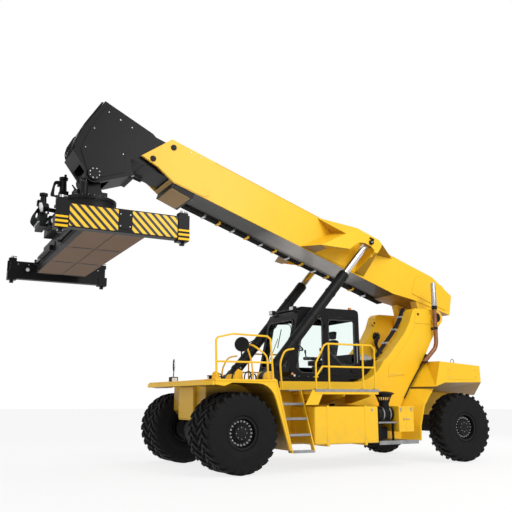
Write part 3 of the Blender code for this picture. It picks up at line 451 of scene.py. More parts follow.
def make_finishes(look):
    """Every finish by name."""
    yellow, black = tuple(look.yellow), tuple(look.black)
    dust = (0.30, 0.22, 0.14)
    return {
        # The yellow enamel's under colour and its arch flag paint shade on downward faces and round the front wheels
        # under the fenders.
        "yellow": enamel("yellow_enamel", yellow, dust, dusty=0.2, under=(0.22, 0.115, 0.02), arch_shade=True),
        "bright": enamel("yellow_trim", yellow, dust, dusty=0.1),
        "black": enamel("black_enamel", black, (0.05, 0.045, 0.04), dusty=0.25, rough=0.42, gloss=0.0,
                shine=0.2),
        "corner": enamel("black_with_bands", black, (0.05, 0.045, 0.04), dusty=0.25, gloss=0.0, shine=0.2,
                bands=yellow),
        "brown": enamel("brown_board", (0.19, 0.125, 0.085), (0.30, 0.22, 0.15), rough=0.7, gloss=0.0,
                shine=0.2),
        "grey": tread_plate("tread_plate"),
        "boom_belly": belly_plate("boom_belly", black),
        "tyre": rubber_finish("tyre_rubber", (0.004, 0.004, 0.0045), 0.02, shine=0.2),
        "rubber": rubber_finish("hose_rubber", (0.006, 0.006, 0.007), 0.03),
        "chrome": rod_finish("ground_rod"),
        "steel": steel_finish("plated_fittings", (0.52, 0.53, 0.55), 0.28),
        "copper": steel_finish("heated_pipe", (0.33, 0.155, 0.085), 0.42),
        "stack": perforated("perforated_stack"),
        "stripes": stripes("warning_stripes", yellow, black),
        "bands": bands("warning_bands", yellow, black),
        "glass": glass("cab_glass", (0.93, 0.985, 0.965)),
        "cloth": seat_cloth("seat_cloth"),
        "moulded": moulded("moulded_trim", (0.045, 0.046, 0.05)),
        "amber": lens("amber_lens", (0.95, 0.32, 0.02)),
        "white_lens": lens("clear_lens", (0.86, 0.88, 0.9)),
        "red_lens": lens("red_lens", (0.55, 0.02, 0.015)),
        "screen": moulded("display_glass", (0.02, 0.05, 0.06)),
        "mirror": mirror_finish("mirror_glass"),
        "radiator": radiator("radiator_core"),
    }


def tread_plate(name):
    f = Finish(name, (0.30, 0.31, 0.33), 0.5, 0.35)
    a, b = (f.x + f.y) * 16.0, (f.x - f.y) * 16.0
    dots = (f.spread((a.fraction() - 0.5).size(), 0.12, 0.03) * f.spread((b.fraction() - 0.5).size(), 0.36,
            0.30)).clamped()
    worn = f.spread(f.noise(6.0, 6), 0.35, 0.7)
    f.colour(f.blend(worn * 0.6, (0.34, 0.35, 0.37), (0.20, 0.19, 0.17)))
    f.roughness((0.38 + worn * 0.3).clamped())
    f.bump(dots + f.noise(90.0, 3) * 0.15, 0.004, 0.7)
    return f.material


def belly_plate(name, black):
    """The boom's lower plate: dark, with a painted reflection as a lighter grey, slightly glossier band along its
    middle.
    """
    f = Finish(name, black, 0.42, 0.0, coat_weight=0.2)
    along = (f.x - ORIGIN.x - PIVOT.x) * -1.0
    # Painted reflection: a grey band along the middle of the plate, fading back to black towards both ends.
    reflection_band = f.spread(along, 1.9, 2.5) * f.spread(along, 4.9, 3.9)
    patch = f.spread(f.noise(1.6, 5), 0.3, 0.7)
    grey = f.blend(patch * 0.5, (0.46, 0.46, 0.47), (0.30, 0.30, 0.31))
    f.colour(f.blend(reflection_band, f.blend(patch * 0.5, black, tinted(black, 1.8)), grey))
    f.roughness((0.5 - reflection_band * 0.12 + patch * 0.1).clamped())
    f.bump(f.noise(40.0, 4), 0.001, 0.4)
    return f.material


def rubber_finish(name, colour, dusty, shine=0.4):
    f = Finish(name, colour, 0.72, specular_ior_level=shine)
    fine = f.noise(160.0, 3)
    dust = f.spread(f.noise(7.0, 6), 0.40, 0.75) * dusty
    f.colour(f.blend(dust, colour, (0.16, 0.13, 0.10)))
    f.roughness((0.62 + fine * 0.12 + dust * 0.4).clamped())
    f.bump(fine, 0.0008, 0.5)
    return f.material


def rod_finish(name):
    f = Finish(name, (0.72, 0.73, 0.75), 0.14, 1.0)
    rings = f.noise(2.0, 3, 0.5, stretch=(9.0, 9.0, 120.0))
    film = f.spread(f.noise(8.0, 4), 0.45, 0.8)
    f.colour(f.blend(film * 0.35, (0.74, 0.75, 0.77), (0.42, 0.41, 0.40)))
    f.roughness((0.10 + rings * 0.12 + film * 0.12).clamped())
    return f.material


def steel_finish(name, colour, rough):
    f = Finish(name, colour, rough, 0.9)
    patch = f.spread(f.noise(9.0, 6), 0.35, 0.7)
    f.colour(f.blend(patch * 0.6, colour, tinted(colour, 0.55)))
    f.roughness((rough + patch * 0.22).clamped())
    f.bump(f.noise(120.0, 3), 0.0005, 0.4)
    return f.material


def perforated(name):
    """A bright stack guard with rows of round holes."""
    f = Finish(name, (0.62, 0.63, 0.64), 0.32, 0.9)
    centre = Vector((EXHAUST[0] + ORIGIN.x, EXHAUST[1]))
    turn = (f.x - centre.x).math("ARCTAN2", f.y - centre.y) * (16 / (2 * pi))
    rows = f.z * 42.0
    shifted = turn + (rows.math("FLOOR") * 0.5).fraction()
    spot = (shifted.fraction() - 0.5) ** 2.0 + (rows.fraction() - 0.5) ** 2.0
    hole = f.spread(spot, 0.10, 0.08)
    f.colour(f.blend(hole, (0.66, 0.67, 0.68), (0.02, 0.018, 0.016)))
    f.roughness((0.30 + hole * 0.5).clamped())
    f.bump(1.0 - hole, 0.003, 0.8)
    return f.material


def stripes(name, yellow, black):
    """Slanting warning stripes."""
    f = Finish(name, yellow, 0.4, coat_weight=0.2)
    band = f.spread(((f.x + f.z) * 6.6 + 0.1).fraction(), 0.52, 0.54)
    worn = f.spread(f.noise(14.0, 7), 0.62, 0.72)
    f.colour(f.blend(worn * 0.2, f.blend(band, yellow, black), (0.25, 0.22, 0.16)))
    f.roughness((0.36 + worn * 0.3).clamped())
    f.bump(f.noise(200.0, 2), 0.0005, 0.3)
    return f.material


def bands(name, yellow, black):
    """Level warning bands."""
    f = Finish(name, yellow, 0.4, coat_weight=0.2)
    band = f.spread((f.z * 9.0 + 0.2).fraction(), 0.48, 0.52)
    worn = f.spread(f.noise(14.0, 7), 0.62, 0.72)
    f.colour(f.blend(worn * 0.2, f.blend(band, yellow, black), (0.25, 0.22, 0.16)))
    f.roughness((0.36 + worn * 0.3).clamped())
    return f.material


def glass(name, colour):
    f = Finish(name, colour, 0.0, 0.0, transmission_weight=1.0, ior=1.05)
    film = f.spread(f.noise(3.0, 5), 0.5, 0.8)
    f.roughness((0.005 + film * 0.02).clamped())
    f.colour(f.blend(film * 0.2, colour, tinted(colour, 0.92)))
    return f.material


def seat_cloth(name):
    f = Finish(name, (0.025, 0.025, 0.03), 0.85, sheen_weight=0.3)
    weave = (f.x * 900.0).math("SINE") * (f.z * 900.0).math("SINE") + (f.y * 900.0).math("SINE")
    f.colour(f.blend(f.spread(f.noise(12.0, 4), 0.4, 0.7) * 0.5, (0.022, 0.022, 0.026),
            (0.055, 0.055, 0.062)))
    f.bump(weave * 0.5, 0.0012, 0.5)
    return f.material


def moulded(name, colour):
    f = Finish(name, colour, 0.5)
    grain = f.cells(220.0)
    f.colour(f.blend(f.spread(f.noise(5.0, 5), 0.4, 0.7) * 0.4, colour, tinted(colour, 1.5)))
    f.roughness((0.42 + f.noise(20.0, 3) * 0.15).clamped())
    f.bump(grain, 0.0008, 0.4)
    return f.material


def lens(name, colour):
    f = Finish(name, colour, 0.12, 0.0, coat_weight=0.8)
    ribs = f.spread(((f.y + f.z) * 60.0).fraction(), 0.1, 0.6)
    f.colour(f.blend(ribs * 0.35, colour, tinted(colour, 0.6)))
    f.bump(ribs, 0.002, 0.5)
    return f.material


def mirror_finish(name):
    f = Finish(name, (0.86, 0.87, 0.88), 0.03, 1.0)
    f.roughness((0.02 + f.spread(f.noise(10.0, 4), 0.5, 0.8) * 0.06).clamped())
    return f.material


def radiator(name):
    """Fine upright fins behind the tail grille."""
    f = Finish(name, (0.05, 0.05, 0.055), 0.5, 0.4)
    fins = f.spread((f.y * 80.0).fraction(), 0.3, 0.7)
    f.colour(f.blend(fins, (0.012, 0.012, 0.014), (0.13, 0.13, 0.14)))
    f.bump(fins, 0.003, 0.8)
    return f.material


FINISHES = {}
NODE_FINISH = {     # CAD nodes that keep their own shape
    "yellow": (
        "main_frame", "side_frame_left", "side_frame_right", "fender_left", "fender_right",
        "front_tray", "side_tank_left", "side_tank_right", "counterweight", "outer_boom",
    ),
    "bright": ("front_rail", "side_rail_left", "side_rail_right"),
    "black": (
        "drive_axle", "steer_axle", "knuckle_left", "knuckle_right", "rim_front_left",
        "rim_front_right", "rim_rear_left", "rim_rear_right", "engine_block", "engine_hood",
        "cab_floor", "cab_body", "cab_roof", "cab_door", "inner_boom", "lift_barrel_left",
        "lift_barrel_right", "head_yoke", "rotator", "spreader_frame", "air_cleaner",
    ),
    "corner": ("spreader_end_left", "spreader_end_right"),
    "grey": ("service_rack", "platform_left", "platform_right"),
    "moulded": ("steering_console",),
    "chrome": ("lift_rod_left", "lift_rod_right"),
    "glass": (
        "glass_front", "glass_side_left", "glass_side_right", "glass_rear", "glass_rear_right",
        "glass_door",
    ),
    "tyre": (
        "tyre_front_left_inner", "tyre_front_left_outer", "tyre_front_right_inner",
        "tyre_front_right_outer", "tyre_rear_left", "tyre_rear_right",
    ),
    "copper": ("exhaust_stack",),
    "cloth": ("driver_seat",),
}


def finish(key):
    return FINISHES[key]


def cad_finishes():
    """Puts the finishes on the CAD nodes that stay."""
    for key, names in NODE_FINISH.items():
        for name in names:
            node = frame["nodes"].get(name)
            if node is None:
                raise RuntimeError(f"no CAD node {name}")
            node.data.materials.clear()
            node.data.materials.append(finish(key))


# Wheels

TYRE_SECTION = ((0.337, 0.185), (0.352, 0.228), (0.40, 0.242), (0.47, 0.247), (0.485, 0.2495), (0.50, 0.247),
        (0.60, 0.249),
                (0.68, 0.2485), (0.74, 0.238), (0.765, 0.214), (0.780, 0.15), (0.784, 0.0))
LUG_STATIONS = ((0.006, 0.825, 0.062, 0.0), (0.10, 0.8245, 0.064, 0.05), (0.17, 0.822, 0.070, 0.10),
                (0.222, 0.806, 0.076, 0.125), (0.2485, 0.745, 0.072, 0.135), (0.2495, 0.69, 0.052, 0.14))


def add_tyre(sketch, centre, hand, lugs):
    """A carcass with two rows of slanting lugs that run down on to its shoulders."""
    x, y, z = centre
    section = [(r, w) for r, w in TYRE_SECTION] + [(r, -w) for r, w in reversed(TYRE_SECTION[:-1])]
    sketch.turned(section, centre, sides=72)
    for row in (-1, 1):
        for i in range(lugs):
            start = 2 * pi * (i + (0.5 if row > 0 else 0.0)) / lugs
            rings = []
            for out, top, width, sweep in LUG_STATIONS:
                turn = start + hand * sweep * 1.35
                foot = min(top - 0.045, 0.78)
                wide = width * 0.5
                corner = []
                for r, w in ((foot, wide * 1.15), (top, wide), (top, -wide), (foot, -wide * 1.15)):
                    a = turn + w / TYRE_RADIUS
                    corner.append((x + r * cos(a), y + row * out, z + r * sin(a)))
                rings.append(corner)
            sketch.loft(rings)


def add_rim_face(sketch, centre, side, out, studs, pitch, hub):
    """The dish, stud ring and hub cap on a wheel's outer side."""
    x, _, z = centre
    sketch.use("black")
    dish = [(0.286, out - 0.07), (0.286, out), (0.262, out + 0.004), (0.205, out - 0.02), (0.15, out - 0.02),
            (0.15, out - 0.07)]
    sketch.turned([(r, side * y) for r, y in dish], (x, 0, z))
    cap = [(0.001, out - 0.05), (hub, out - 0.05), (hub, out + 0.03), (hub * 0.9, out + 0.05),
            (hub * 0.45, out + 0.058), (0.001, out + 0.058)]
    sketch.turned([(r, side * y) for r, y in cap], (x, 0, z))
    bead = [(0.318, out + 0.02), (0.336, out + 0.04), (0.336, out + 0.06), (0.306, out + 0.055),
            (0.292, out + 0.01)]
    sketch.turned([(r, side * y) for r, y in bead], (x, 0, z), sides=64)
    sketch.use("steel")
    sketch.bolts(circle((x, side * (out + 0.002), z), pitch, studs), (0, side, 0), 0.0155, 0.034)
    sketch.bolts(circle((x, side * (out + 0.05), z), hub * 0.70, 8), (0, side, 0), 0.008, 0.008)
    sketch.bar((x + 0.30, side * (out + 0.012), z), (x + 0.30, side * (out + 0.055), z), 0.006, sides=8)


def wheels(look):
    """Lugged tyres and the faces of their rims."""
    for side in (LEFT, RIGHT):
        tag = TAGS[side]
        for y, place in zip(FRONT_TYRES, ("inner", "outer")):
            tyre = Sketch("tyre")
            add_tyre(tyre, (0, side * y, TYRE_RADIUS), 1, look.lugs)
            tyre.done(f"tyre_{tag}_{place}_lugged", f"wheel_front_{tag}",
                      replaces=(f"tyre_front_{tag}_{place}",), bevel=0)
        face = Sketch("black", "steel")
        add_rim_face(face, (0, 0, TYRE_RADIUS), side, FRONT_TYRES[1] + 0.12, look.studs, 0.236, 0.165)
        face.done(f"hub_front_{tag}", f"wheel_front_{tag}", bevel=0.003)
        tyre = Sketch("tyre")
        add_tyre(tyre, (WHEELBASE, side * REAR_TYRE, TYRE_RADIUS), 1, look.lugs)
        tyre.done(f"tyre_rear_{tag}_lugged", f"wheel_rear_{tag}",
                  replaces=(f"tyre_rear_{tag}",), bevel=0)
        face = Sketch("black", "steel")
        add_rim_face(face, (WHEELBASE, 0, TYRE_RADIUS), side, REAR_TYRE + 0.13, look.studs, 0.228, 0.155)
        face.done(f"hub_rear_{tag}", f"wheel_rear_{tag}", bevel=0.003)


def axle_gear():
    """Differential cover, brake drums, tie rod and steering cylinder."""
    gear = Sketch("black", "steel")
    z = TYRE_RADIUS
    gear.turned([(0.001, -0.43), (0.12, -0.42), (0.20, -0.36), (0.20, -0.30), (0.001, -0.30)], (0, 0, z),
            sides=32)
    for side in (LEFT, RIGHT):
        gear.turned([(0.19, side * 0.88), (0.28, side * 0.90), (0.28, side * 1.0), (0.19, side * 1.0)],
                (0, 0, z), sides=40)
    gear.bar((0.20, 0, z), (1.05, 0, z - 0.02), 0.07, sides=16)
    gear.use("steel").bolts(circle((0, -0.40, z), 0.16, 12), (0, -1, 0), 0.012, 0.012)
    gear.done("drive_gear", "chassis", bevel=0.004)
    steer = Sketch("black", "chrome")
    x = WHEELBASE
    steer.bar((x + 0.26, -0.34, z + 0.02), (x + 0.26, 0.34, z + 0.02), 0.065)
    steer.box((x + 0.15, -0.30, z - 0.04), (x + 0.27, -0.22, z + 0.08)).box((x + 0.15, 0.22, z - 0.04),
            (x + 0.27, 0.30, z + 0.08))
    steer.use("chrome").bar((x + 0.26, -0.78, z + 0.02), (x + 0.26, 0.78, z + 0.02), 0.028)
    steer.done("steering_cylinder", "chassis", bevel=0.003)


# Chassis

def platforms():
    """Deck, beam, brackets and ladder on each side."""
    for side in (LEFT, RIGHT):
        tag = TAGS[side]
        mirror = Matrix.Scale(side, 4, (0, 1, 0))
        deck = Sketch("grey", "yellow", "black", place=mirror)
        deck.box((1.44, 0.96, 1.672), (3.45, 1.42, 1.702)).box((1.74, 1.42, 1.672), (3.45, 2.03, 1.702))
        deck.use("yellow")
        deck.box((1.76, 0.96, 1.60), (3.43, 2.02, 1.671))
        deck.use("grey").box((1.74, 2.005, 1.655), (3.45, 2.032, 1.712)).use("yellow")
        for x in (1.85, 2.55, 3.25):
            deck.plate([(0.96, 1.60), (0.96, 1.40), (1.15, 1.40), (1.90, 1.56), (1.90, 1.60)], x, x + 0.05,
                    "x")
        deck.plate([(1.68, 1.692), (1.98, 1.692), (1.82, 1.375), (1.50, 1.375)], 1.99, 2.015)
        for x in (1.14, 1.69):
            rings = [[(x, o - w, h), (x + 0.03, o - w, h), (x + 0.03, o, h), (x, o, h)]
                     for h, o, w in ((1.69, 1.50, 0.10), (1.41, 1.615, 0.12), (0.40, 2.045, 0.12))]
            deck.loft(rings)
        for height, out in ((1.41, 1.61), (1.10, 1.75), (0.77, 1.89), (0.44, 2.03)):
            deck.use("grey").box((1.165, out - 0.21, height - 0.012), (1.695, out, height))
            deck.box((1.165, out - 0.006, height - 0.04), (1.695, out + 0.006, height + 0.012))
            deck.use("black").box((1.17, out - 0.20, height - 0.045), (1.69, out - 0.01, height - 0.0125))
        deck.use("yellow").bolts([(1.138, 2.0, 0.55), (1.138, 1.7, 1.2)], (-1, 0, 0), 0.01)
        deck.done(f"deck_and_ladder_{tag}", "chassis", replaces=(f"platform_{tag}",),
                bevel=0.004)


def rail_trim():
    """Inner grab rails, kick bars and clamps."""
    for side in (LEFT, RIGHT):
        tag = TAGS[side]
        y = side * 1.97
        trim = Sketch("bright", "steel")
        feet = [(1.80, 1.77), (2.14, 1.77), (3.05, 1.77), (3.38, 1.77)]
        if side == LEFT:
            feet += [(-0.57, 1.95), (0.735, 1.95)]
            trim.tube([(0.62, y, 1.92), (0.60, y, 2.40), (0.30, y + 0.10, 2.62), (0.28, -1.62, 2.64),
                    (0.42, -1.60, 2.30), (0.46, -1.60, 1.92)], 0.019)
        trim.tube([(1.16, side * 1.60, 1.72), (1.16, side * 1.52, 2.28), (1.30, side * 1.48, 2.56),
                (1.55, side * 1.46, 2.60)], 0.021)
        for x, z in feet:
            trim.box((x - 0.045, y - 0.045, z - 0.05), (x + 0.045, y + 0.045, z - 0.035))
            trim.use("steel").bolts([(x - 0.033, y - 0.033, z - 0.035), (x + 0.033, y + 0.033, z - 0.035)],
                    (0, 0, 1), 0.008).use("bright")
        trim.done(f"grab_rails_{tag}", "chassis", bevel=0)


def body_trim():
    """Fender lips, nose plate, frame doublers and tank fittings."""
    for side in (LEFT, RIGHT):
        tag = TAGS[side]
        mirror = Matrix.Scale(side, 4, (0, 1, 0))
        trim = Sketch("yellow", "steel", "black", place=mirror)
        face = FRAME_FACE
        trim.plate([(1.142, 0.445), (0.785, 1.895), (-0.62, 1.895), (-0.62, 1.86), (0.76, 1.86),
                (1.11, 0.445)], 2.045, 2.062)
        leg = [(4.55, 2.05), (5.10, 2.10), (5.62, 2.86), (5.88, 3.28), (5.86, 3.36), (5.52, 3.36),
                (5.40, 3.20), (5.15, 2.86), (4.60, 2.30)]
        trim.plate(leg, face - 0.005, face + 0.014)
        trim.plate([(5.47, 3.42), (6.02, 3.42), (6.02, 3.78), (5.56, 3.78)], face - 0.005, face + 0.012)
        ring = [(0.205, face + 0.0), (0.205, face + 0.034), (0.15, face + 0.040), (0.15, face)]
        trim.turned(ring, (PIVOT.x, 0, PIVOT.z), sides=40)
        trim.use("black").bar((PIVOT.x, face + 0.02, PIVOT.z), (PIVOT.x, face + 0.046, PIVOT.z), 0.125)
        trim.bar((5.60, face, 3.66), (5.60, face + 0.016, 3.66), 0.035)
        trim.use("steel").bolts(circle((PIVOT.x, face + 0.036, PIVOT.z), 0.178, 12), (0, 1, 0), 0.011)
        trim.bolts([(4.62 + 0.1 * k, face + 0.012, 2.10 + 0.003 * k) for k in range(5)], (0, 1, 0), 0.009)
        trim.use("yellow").plate([(0.98, 1.55), (1.5, 1.55), (1.62, 1.40), (0.98, 1.40)], face - 0.005,
                face + 0.02)
        for x in (2.1, 3.1):
            trim.plate(rounded((x - 0.03, 0.50), (x + 0.03, 1.36), 0.01), face + 0.02, 1.958)
        trim.use("steel").bar((3.28, 1.94, 1.26), (3.28, 1.962, 1.26), 0.028)
        trim.use("black").bar((2.45, 1.60, 1.33), (2.45, 1.60, 1.385), 0.055).bar((2.45, 1.60, 1.38),
                (2.45, 1.60, 1.40), 0.065)
        trim.use("steel").bolts([(x, 1.953, z) for x in (2.1, 3.1) for z in (0.62, 1.28)], (0, 1, 0), 0.010)
        trim.done(f"body_trim_{tag}", "chassis", bevel=0.003)
    nose = Sketch("yellow", "steel")
    front = NOSE - 0.062
    nose.plate([(y, z) for y, z in rounded((-0.44, 1.07), (0.44, 1.75), 0.04)], front - 0.014, front, "x")
    nose.box((-0.745, -1.70, 1.860), (-0.715, 1.70, 1.888)).box((-0.64, -0.56, 1.862), (-0.12, 0.56, 1.875))
    nose.use("steel").bolts([(front - 0.014, y, z) for y in (-0.40, 0.40) for z in (1.12, 1.41, 1.70)],
            (-1, 0, 0), 0.014)
    nose.done("nose_plate", "chassis", bevel=0.004)


def mast_gear():
    """Hose bundle, junction fitting, lifting eye and valve box between the boom's legs."""
    kit = Sketch("rubber", "steel", "yellow", "black")
    for k in range(5):
        y = -0.57 + 0.035 * k
        off = 0.02 * (k % 2)
        kit.use("rubber").tube([(5.50 - off, y, 3.86), (5.36 - off, y, 3.55), (5.12 - off, y, 3.20),
                (4.70 - off, y, 2.74), (4.52, y, 2.54)], 0.019, 8)
    for x, z in ((5.40, 3.62), (5.18, 3.28), (4.86, 2.92)):
        kit.use("steel").box((x - 0.05, -0.60, z - 0.03), (x + 0.03, -0.40, z + 0.02))
    kit.use("black").bar((5.40, 0.60, 3.20), (5.40, 0.54, 3.20), 0.11, sides=28)
    kit.use("steel").bolts(circle((5.40, 0.54, 3.20), 0.08, 8), (0, -1, 0), 0.010)
    for k in range(3):
        z = 3.06 + 0.04 * k
        kit.use("rubber").tube([(5.38, 0.56, z + 0.1), (5.36, 0.40, z + 0.1),
                (5.22 - 0.04 * k, 0.34, z - 0.10), (5.32, 0.40, 2.84 - 0.05 * k), (5.54, 0.50, 2.72)], 0.020,
                8)
    kit.use("yellow").plate([(4.72, 2.56), (4.80, 2.50), (5.34, 3.28), (5.50, 3.60), (5.44, 3.62),
            (5.24, 3.30)], 0.588, 0.602)
    kit.plate(circle_outline(5.34, 3.56, 0.075), 0.56, 0.64)
    kit.use("black").bar((5.34, 0.555, 3.56), (5.34, 0.645, 3.56), 0.030)
    kit.use("steel").box((4.02, -0.50, 2.46), (4.40, 0.40, 2.56))
    for k in range(5):
        kit.bar((4.08 + 0.06 * k, -0.42, 2.56), (4.08 + 0.06 * k, -0.42, 2.61), 0.020, sides=8)
    for side in (LEFT, RIGHT):
        kit.use("rubber").tube([(5.03, side * 0.965, 1.52), (5.25, side * 0.965, 1.86),
                (5.70, side * 0.965, 2.47)], 0.018, 8)
        kit.use("black").bar((5.70, side * 0.965, 2.47), (5.80, side * 0.975, 2.62), 0.022, 0.036)
    kit.done("mast_hoses_and_valves", "chassis", bevel=0.002)


def circle_outline(cx, cz, radius, count=24):
    return [(cx + radius * cos(a), cz + radius * sin(a)) for a in angles(count)]


def lamps_and_mirrors():
    """Work lamps, indicator lamps and the mirrors on their stalks."""
    kit = Sketch("black", "white_lens", "mirror")
    y = -1.76
    kit.use("black").tube([(-0.12, y, 1.90), (-0.10, y, 2.02), (0.10, y, 2.22), (0.10, y, 2.50)], 0.016)
    kit.bar((0.10, y, 2.63), (0.13, y + 0.035, 2.63), 0.155,
            sides=28).tube([(0.25, y, 2.66), (0.35, y, 2.70), (0.40, -1.96, 2.78)], 0.012)
    kit.use("mirror").bar((0.130, y + 0.035, 2.63), (0.133, y + 0.039, 2.63), 0.140, sides=28)
    for side in (LEFT, RIGHT):
        kit.use("black").plate([(0.84, 2.10), (0.97, 2.10), (1.01, 1.74), (0.89, 1.74)],
                *span(side, 1.66, 1.78))
        kit.use("white_lens").plate([(0.832, 2.08), (0.84, 2.08), (0.888, 1.77), (0.88, 1.77)],
                *span(side, 1.675, 1.765))
    post = Vector((-0.37, 1.0, 0))
    kit.use("black").plate(rounded((post.x - 0.09, 1.87), (post.x + 0.09, 2.02), 0.02), post.y - 0.08,
            post.y + 0.08)
    kit.use("white_lens").plate(rounded((post.x - 0.07, 1.89), (post.x + 0.07, 2.00), 0.02), post.y - 0.084,
            post.y - 0.08)
    kit.use("black").tube([post + Vector((0, 0, 2.0)), post + Vector((0, 0, 2.12)),
            post + Vector((0.02, 0, 2.26))], 0.012)
    turn = Vector((0.9, -0.45, 0)).normalized()
    centre = post + Vector((0.02, 0, 2.30))
    kit.bar(centre - turn * 0.03, centre, 0.14, sides=28).use("mirror").bar(centre, centre + turn * 0.004,
            0.13, sides=28)
    kit.done("lamps_and_mirrors", "chassis", bevel=0.003)


def tail_and_hood():
    """Rear hood panels, grille, lamps, lifting eyes, towing pin and the engine hood's louvres."""
    kit = Sketch("yellow", "black", "red_lens", "amber", "steel", "radiator", "white_lens")
    for side in (LEFT, RIGHT):
        y = side * 1.30
        kit.use("steel").tube([(6.31, y, 2.40), (6.31, y, 2.47), (6.36, y, 2.52), (6.41, y, 2.47),
                (6.41, y, 2.40)], 0.013)
        low, high = span(side, 1.606, 1.594)
        kit.use("yellow").plate(rounded((5.92, 1.98), (6.88, 2.28), 0.05), low, high)
        kit.use("steel").bolts([(x, side * 1.606, z) for x in (5.98, 6.82) for z in (2.04, 2.22)],
                (0, side, 0), 0.010)
        for k in range(3):
            kit.use(("red_lens", "amber", "white_lens")[k]).bar((7.10 - 0.03 * k, side * (1.18 + 0.13 * k),
                    2.10), (7.19 - 0.05 * k, side * (1.20 + 0.13 * k), 2.10), 0.048)
    kit.use("black").box((7.20, -0.82, 1.84), (7.30, 0.82, 2.30))
    kit.use("radiator").box((7.30, -0.78, 1.88), (7.306, 0.78, 2.26))
    kit.use("black")
    for k in range(9):
        z = 1.90 + 0.042 * k
        kit.plate([(7.30, z), (7.335, z - 0.012), (7.335, z - 0.004), (7.30, z + 0.010)], -0.80, 0.80)
    kit.use("black").box((7.22, -0.13, 1.38), (7.36, 0.13, 1.52)).use("steel").bar((7.31, 0, 1.30),
            (7.31, 0, 1.60), 0.03)
    kit.use("black")
    for side in (LEFT, RIGHT):
        for k in range(8):
            x = 4.15 + 0.13 * k
            low, high = span(side, 0.598, 0.612)
            kit.plate([(x, 2.02), (x + 0.07, 2.02), (x + 0.07, 2.34), (x, 2.34)], low, high)
    for k in range(7):
        kit.plate([(4.30 + 0.12 * k, 2.478 + 0.004 * k), (4.36 + 0.12 * k, 2.505 + 0.004 * k),
                (4.37 + 0.12 * k, 2.478 + 0.004 * k)], -0.45, 0.45)
    kit.use("steel").tube([(4.4, 0.42, 2.48), (4.4, 0.42, 2.56), (4.6, 0.42, 2.56), (4.6, 0.42, 2.49)], 0.010)
    kit.done("tail_and_hood_fittings", "chassis", bevel=0.003)


def exhaust():
    """The pipe from the hood up past the post, and the stack's guard."""
    x, y = EXHAUST
    kit = Sketch("stack", "copper", "black", "steel")
    outer = [(0.058, 3.88), (0.068, 3.89), (0.068, 4.47), (0.058, 4.50), (0.050, 4.50), (0.050, 3.88)]
    kit.turned(outer, (x, y, 0), "z", 32)
    kit.use("copper").tube([(5.60, y, 2.40), (5.72, y, 2.52), (6.00, y, 2.78), (x, y, 2.92), (x, y, 3.40),
            (x, y, 3.90)], 0.054, 20)
    kit.use("black").turned([(0.050, 3.80), (0.074, 3.80), (0.074, 3.88), (0.050, 3.88)], (x, y, 0), "z", 28)
    kit.turned([(0.052, 3.27), (0.064, 3.27), (0.064, 3.33), (0.052, 3.33)], (x, y, 0), "z", 28)
    kit.box((x - 0.03, y + 0.05, 3.27), (x + 0.03, -FRAME_FACE - 0.002, 3.33))
    kit.turned([(0.052, 2.41), (0.085, 2.41), (0.085, 2.44), (0.052, 2.44)], (5.63, y, 0), "z", 24)
    kit.use("steel").bolts([(x - 0.072, y, 3.84), (x - 0.062, y, 3.30)], (-1, 0, 0), 0.009, 0.02)
    kit.done("exhaust_and_guard", "chassis", replaces=("exhaust_stack",), bevel=0.002)


